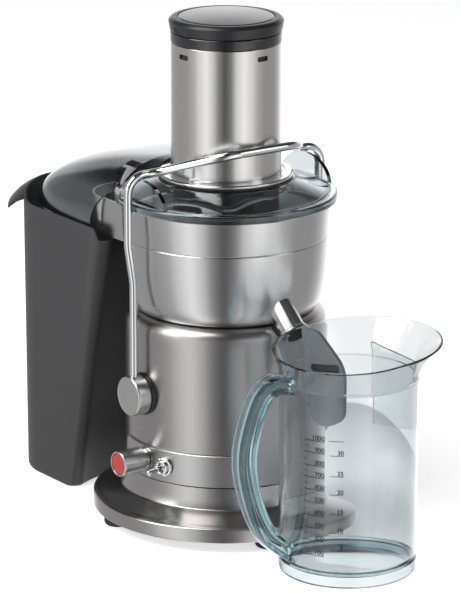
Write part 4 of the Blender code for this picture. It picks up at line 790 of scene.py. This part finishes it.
def flare_ring(t, wall):
    """A loop part of the way from the shoulder, 0, to the rim, 1."""
    height = SHOULDER + (JUG_RIM - 0.0006 - SHOULDER) * t
    return jug_ring(JUG_R + JUG_FLARE * t ** 1.3, height, t ** 1.75 * 0.98, wall)


FLOOR_Z = 0.0125
BODY = [(0.0480, FLOOR_Z - 0.0032), (0.0508, FLOOR_Z - 0.0040), (0.0514, 0.0016), (0.0520, 0.0),
        (0.0538, 0.0), (0.0549, 0.0010), (JUG_R, 0.0030), (JUG_R, 0.0118), (JUG_R - 0.0004, 0.0126),
        (JUG_R, 0.0134), (JUG_R, SHOULDER - 0.004), (JUG_R + 0.0004, SHOULDER - 0.0034),
        (JUG_R + 0.0004, SHOULDER - 0.0016), (JUG_R, SHOULDER - 0.0010)]
rings = [jug_ring(radius, z, 0) for radius, z in BODY]
rings += [flare_ring(t / 12, 0) for t in range(13)]
rings += [jug_ring(JUG_R + JUG_FLARE, JUG_RIM, 1.0, JUG_WALL * 0.25),
          jug_ring(JUG_R + JUG_FLARE, JUG_RIM, 1.0, JUG_WALL * 0.75)]
rings += [flare_ring(t / 12, JUG_WALL) for t in range(12, -1, -1)]
rings += [jug_ring(radius, z, 0, JUG_WALL) for radius, z in
          [(JUG_R, SHOULDER - 0.004), (JUG_R, FLOOR_Z + 0.004), (JUG_R - 0.0012, FLOOR_Z + 0.0012),
           (JUG_R - 0.004, FLOOR_Z)]]
piece("jug", skinned(rings, JUG), clear_jug, "jug", ["jug_body"])


def smooth_route(points, steps):
    """An even curve through a row of points."""
    ends = [points[0] * 2 - points[1]] + points + [points[-1] * 2 - points[-2]]
    path = []
    for a, b, c, d in zip(ends, ends[1:], ends[2:], ends[3:]):
        for i in range(steps):
            t = i / steps
            path.append(0.5 * (2 * b + (c - a) * t + (2 * a - 5 * b + 4 * c - d) * t * t
                               + (3 * b - a - 3 * c + d) * t ** 3))
    return path + [points[-1]]


def handle_rings():
    """Sections of the jug's handle: a broad outer band with a narrower rib inside it."""
    seat = JUG_R - 0.0012
    route = [Vector((seat, 0.1600)), Vector((0.0700, 0.1625)), Vector((0.0845, 0.1500)), Vector((0.0960, 0.1100)),
             Vector((0.0905, 0.0720)), Vector((0.0760, 0.0400)), Vector((seat, 0.0210))]
    path = smooth_route(route, 10)
    out = Vector((-cos(JUG_TURN), -sin(JUG_TURN), 0))
    side = Vector((-out.y, out.x, 0))
    band = [(p.x, p.y) for p in softened(
        [(-0.0095, 0.0070, 0.0012), (0.0095, 0.0070, 0.0012), (0.0095, 0.0034, 0.0009), (0.0036, 0.0026, 0.0010),
         (0.0036, -0.0028, 0.0010), (0.0080, -0.0036, 0.0008), (0.0078, -0.0070, 0.0014), (-0.0078, -0.0070, 0.0014),
         (-0.0080, -0.0036, 0.0008), (-0.0036, -0.0028, 0.0010), (-0.0036, 0.0026, 0.0010),
         (-0.0095, 0.0034, 0.0009)], closed=True, steps=3)]
    for i, place in enumerate(path):
        ahead = path[min(i + 1, len(path) - 1)] - path[max(i - 1, 0)]
        if i in (0, len(path) - 1):
            across = Vector((0, 1 if i == 0 else -1))
        else:
            across = Vector((-ahead.y, ahead.x)).normalized()
        ring = []
        for wide, deep in band:
            flat = place + across * deep
            ring.append(out * flat.x + side * wide + Vector((0, 0, flat.y)))
        yield ring


seat_block = skinned([jug_ring(JUG_R + 0.0002, -0.001, 0), jug_ring(JUG_R + 0.0002, SHOULDER, 0)]
                     + [[p + (Vector((p.x, p.y, 0)).normalized() * 0.0002) for p in flare_ring(t / 6, 0)]
                        for t in range(1, 7)], JUG)
piece("jug_grip", worked(skinned(list(handle_rings()), JUG), (CUT, seat_block)), clear_handle, "jug",
      ["jug_handle"], sharp=40)


def guide_outline():
    """Side view of the tongue that holds back the froth."""
    wall, rim = -0.0525, -0.0574
    flare = wall - JUG_FLARE * 0.27
    corners = [(wall, 0.146, 0.002), (wall + 0.010, 0.139, 0.004), (wall + 0.0125, 0.128, 0.004),
               (wall + 0.017, 0.1235, 0.004), (wall + 0.031, 0.1225, 0.006), (wall + 0.047, 0.1300, 0.006),
               (wall + 0.0515, 0.1360, 0.005), (wall + 0.0515, 0.1600, 0.006), (wall + 0.046, 0.1690, 0.006),
               (wall + 0.016, 0.1880, 0.006), (rim + 0.002, 0.1870, 0.001), (rim, 0.1835, 0.001),
               (flare, 0.1731, 0.001), (wall, 0.163, 0.001)]
    return [(p.x, p.y) for p in softened(corners, closed=True)]


def slot_outline():
    """The long, tilted slot in the tongue."""
    low, high, half, tilt = -0.0415, -0.0095, 0.0032, radians(12)
    ends = arc((high, 0), half, -pi / 2, pi / 2, 10) + arc((low, 0), half, pi / 2, 3 * pi / 2, 10)
    middle = (low + high) / 2
    return [(middle + (x - middle) * cos(tilt) - y * sin(tilt),
             0.1600 + (x - middle) * sin(tilt) + y * cos(tilt)) for x, y in ends]


guide_frame = JUG @ Matrix.Translation((0, -0.003, 0)) @ Matrix.Rotation(pi / 2, 4, "X")
guide = worked(slab(guide_outline(), -0.0015, 0.0015, guide_frame),
               (CUT, slab(slot_outline(), -0.0007, 0.01, guide_frame)))
tongue = piece("froth_tongue", guide, [guide_plastic, black_plastic], "jug", ["juice_guide"])
# Painted shade: the slot's floor takes the black plastic finish to stand for the shade inside the slot.
for face in tongue.data.polygons:
    if abs(face.center.y + 0.003) < 0.0012 and face.center.z > 0.150 and abs(face.normal.y) > 0.9:
        face.material_index = 1


# ---- measuring marks --------------------------------------------------------------------------
def number_mesh(text, size):
    """A flat number that ends at the origin."""
    curve = bpy.data.curves.new("number", "FONT")
    curve.body = text
    curve.size = size
    curve.offset = 0.00012
    curve.align_x = "RIGHT"
    return meshed(curve)


def tick(start, end, thick):
    """A flat line from start to end."""
    bm = bmesh.new()
    bmesh.ops.create_grid(bm, x_segments=8, y_segments=1, size=0.5)
    bmesh.ops.transform(bm, verts=bm.verts, matrix=Matrix.Translation(((start + end) / 2, 0, 0))
                        @ Matrix.Diagonal((end - start, thick, 1, 1)))
    return bm


def on_wall(bm, degrees, height):
    """Lay a flat mark on the jug's wall; its X runs round from degrees."""
    reach = JUG_R + 0.00008
    for vert in bm.verts:
        turn = radians(degrees) + vert.co.x / reach
        vert.co = Vector((reach * cos(turn), reach * sin(turn), height + vert.co.y))
    bmesh.ops.transform(bm, matrix=JUG, verts=bm.verts)
    return bm


marks = []
LEFT_TURN, RIGHT_TURN = -57.0, -41.0    # where the two scales start, in degrees round the jug
LEFT_MARKS = [("1000", 0.1210), ("900", 0.1112), ("800", 0.1005), ("700", 0.0908), ("600", 0.0806), ("500", 0.0700),
              ("400", 0.0592), ("300", 0.0488), ("200", 0.0385), ("100", 0.0262)]
for text, height in LEFT_MARKS:
    marks.append(on_wall(number_mesh(text, 0.0056), LEFT_TURN, height + 0.0008))
    marks.append(on_wall(tick(-0.0185, 0.0, 0.0006), LEFT_TURN, height))
for (_, high), (_, low) in zip(LEFT_MARKS, LEFT_MARKS[1:]):
    marks.append(on_wall(tick(-0.0185, -0.0150, 0.0005), LEFT_TURN, (high + low) / 2))
RIGHT_MARKS = [("30", 0.1105), ("25", 0.0935), ("20", 0.0782), ("15", 0.0622), ("10", 0.0465), ("5", 0.0320)]
for text, height in RIGHT_MARKS:
    marks.append(on_wall(number_mesh(text, 0.0052), RIGHT_TURN, height + 0.0008))
    marks.append(on_wall(tick(-0.0110, 0.0, 0.0005), RIGHT_TURN, height))
marks.append(on_wall(tick(-0.0125, 0.0, 0.0005), RIGHT_TURN, 0.1225))
piece("measuring_marks", joined(*marks), ink, "jug")

# ---- carried-over nodes -----------------------------------------------------------------------
CARRIED = {
    "base_plate": charcoal, "pivot_pin_front": polished_steel, "pivot_pin_rear": polished_steel,
    "drive_seal": rubber, "pusher_body": black_plastic, "speed_board": board_green, "board_heatsink": knob_steel,
    "froth_separator": clear_plate,
}
CARRIED_WORDS = [(("basket", "grating"), basket_steel), (("fan", "coupling", "hub"), black_plastic),
                 (("stator", "armature"), copper)]
for node_name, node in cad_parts.items():
    if node.hide_render:
        continue
    by_word = [finish for words, finish in CARRIED_WORDS if any(word in node_name for word in words)]
    node.data.materials.clear()
    node.data.materials.append(CARRIED.get(node_name, (by_word + [knob_steel])[0]))

# Light passes through the clear pieces, so they cast no hard shadow.
for clear_name in ("cover", "jug", "jug_grip", "spout_tip", "froth_separator"):
    bpy.data.objects[clear_name].visible_shadow = False
    bpy.data.objects[clear_name].visible_diffuse = False

# ---- floor, light and camera ------------------------------------------------------------------
floor_bm = bmesh.new()
bmesh.ops.create_circle(floor_bm, cap_ends=True, segments=96, radius=9.0)
floor = shop_object(floor_bm, "studio_floor")
floor_paint = started("floor_paint", (0.90, 0.90, 0.90), Roughness=0.9,
                      Emission_Color=(1, 1, 1, 1), Emission_Strength=0.64)
floor.data.materials.append(floor_paint[0])
floor.visible_glossy = False

world = bpy.data.worlds.new("studio")
bpy.context.scene.world = world
world.use_nodes = True
sky = world.node_tree
background = sky.nodes["Background"]
split = wired(sky, "SeparateXYZ", {"Vector": wired(sky, "TexCoord").outputs["Generated"]})
angle = math_node(sky, "ARCTAN2", split.outputs["Y"], split.outputs["X"])
share = math_node(sky, "ADD", math_node(sky, "DIVIDE", angle, tau), 0.5)
bands = wired(sky, "ValToRGB", {"Fac": share})
bands.color_ramp.interpolation = "EASE"
CEILING = 0.10          # how much of its brightness the room keeps overhead
# The room's bright and dark sides: (degrees from +X toward +Y, brightness).
SOFTBOXES = [(-180, 0.50), (-150, 0.46), (-125, 0.46), (-106, 0.55), (-91, 1.05), (-77, 1.40), (-63, 0.95),
             (-51, 0.34), (-38, 0.12), (-26, 0.28), (-12, 1.10), (2, 1.45), (17, 1.10), (33, 0.60), (50, 0.44),
             (80, 0.44), (96, 0.65), (112, 1.15), (135, 1.60), (155, 1.40), (170, 0.75), (180, 0.50)]
ramp = bands.color_ramp
while len(ramp.elements) > 1:
    ramp.elements.remove(ramp.elements[-1])
for i, (degrees, level) in enumerate(SOFTBOXES):
    spot = ramp.elements[0] if i == 0 else ramp.elements.new((degrees + 180) / 360)
    spot.position = (degrees + 180) / 360
    spot.color = (level, level, level * 1.01, 1)
height = wired(sky, "MapRange", {"Value": split.outputs["Z"], "From Min": 0.22, "From Max": 0.50,
                                 "To Min": 1.0, "To Max": CEILING}, interpolation_type="SMOOTHSTEP")
dimmed = wired(sky, "VectorMath", {"Vector": bands.outputs["Color"]}, operation="SCALE")
sky.links.new(height.outputs["Result"], dimmed.inputs["Scale"])
camera_ray = wired(sky, "LightPath").outputs["Is Camera Ray"]
sky.links.new(mixed(sky, camera_ray, dimmed.outputs["Vector"], (1, 1, 1, 1)), background.inputs["Color"])
background.inputs["Strength"].default_value = 1.0


def softbox(name, where, size, power):
    """A flat lamp that faces the middle of the machine."""
    data = bpy.data.lights.new(name, "AREA")
    data.shape = "RECTANGLE"
    data.size, data.size_y = size
    data.energy = power
    lamp = bpy.data.objects.new(name, data)
    lamp.location = where
    lamp.rotation_euler = (Vector((0, 0, 0.15)) - Vector(where)).to_track_quat("-Z", "Y").to_euler()
    bpy.context.scene.collection.objects.link(lamp)
    return lamp


softbox("overhead", (-0.2, -1.5, 2.2), (1.8, 1.8), 46)
softbox("left_box", (-0.6, -2.4, 1.5), (1.2, 1.6), 18)
softbox("right_box", (2.2, 1.4, 1.4), (1.0, 1.6), 7)

camera_data = bpy.data.cameras.new("studio_camera")
camera = bpy.data.objects.new("studio_camera", camera_data)
bpy.context.scene.collection.objects.link(camera)
AIM, TILT, LEAN = 2.5173, -0.2807, 0.002
look = Vector((cos(AIM) * cos(TILT), sin(AIM) * cos(TILT), sin(TILT)))
right = look.cross(Vector((0, 0, 1))).normalized()
camera.matrix_world = (Matrix.Translation((2.499 + MACHINE_X, -1.7955, 1.0727))
                       @ Matrix((right, right.cross(look), -look)).transposed().to_4x4()
                       @ Matrix.Rotation(LEAN, 4, "Z"))
SENSOR = 36
FOCAL_SHARE = 3889.4 / 461      # focal length over the frame's width
camera_data.sensor_width = SENSOR
camera_data.sensor_fit = "HORIZONTAL"
camera_data.lens = FOCAL_SHARE * SENSOR
camera_data.clip_end = 40
bpy.context.scene.camera = camera
bpy.context.scene.view_settings.view_transform = "Standard"
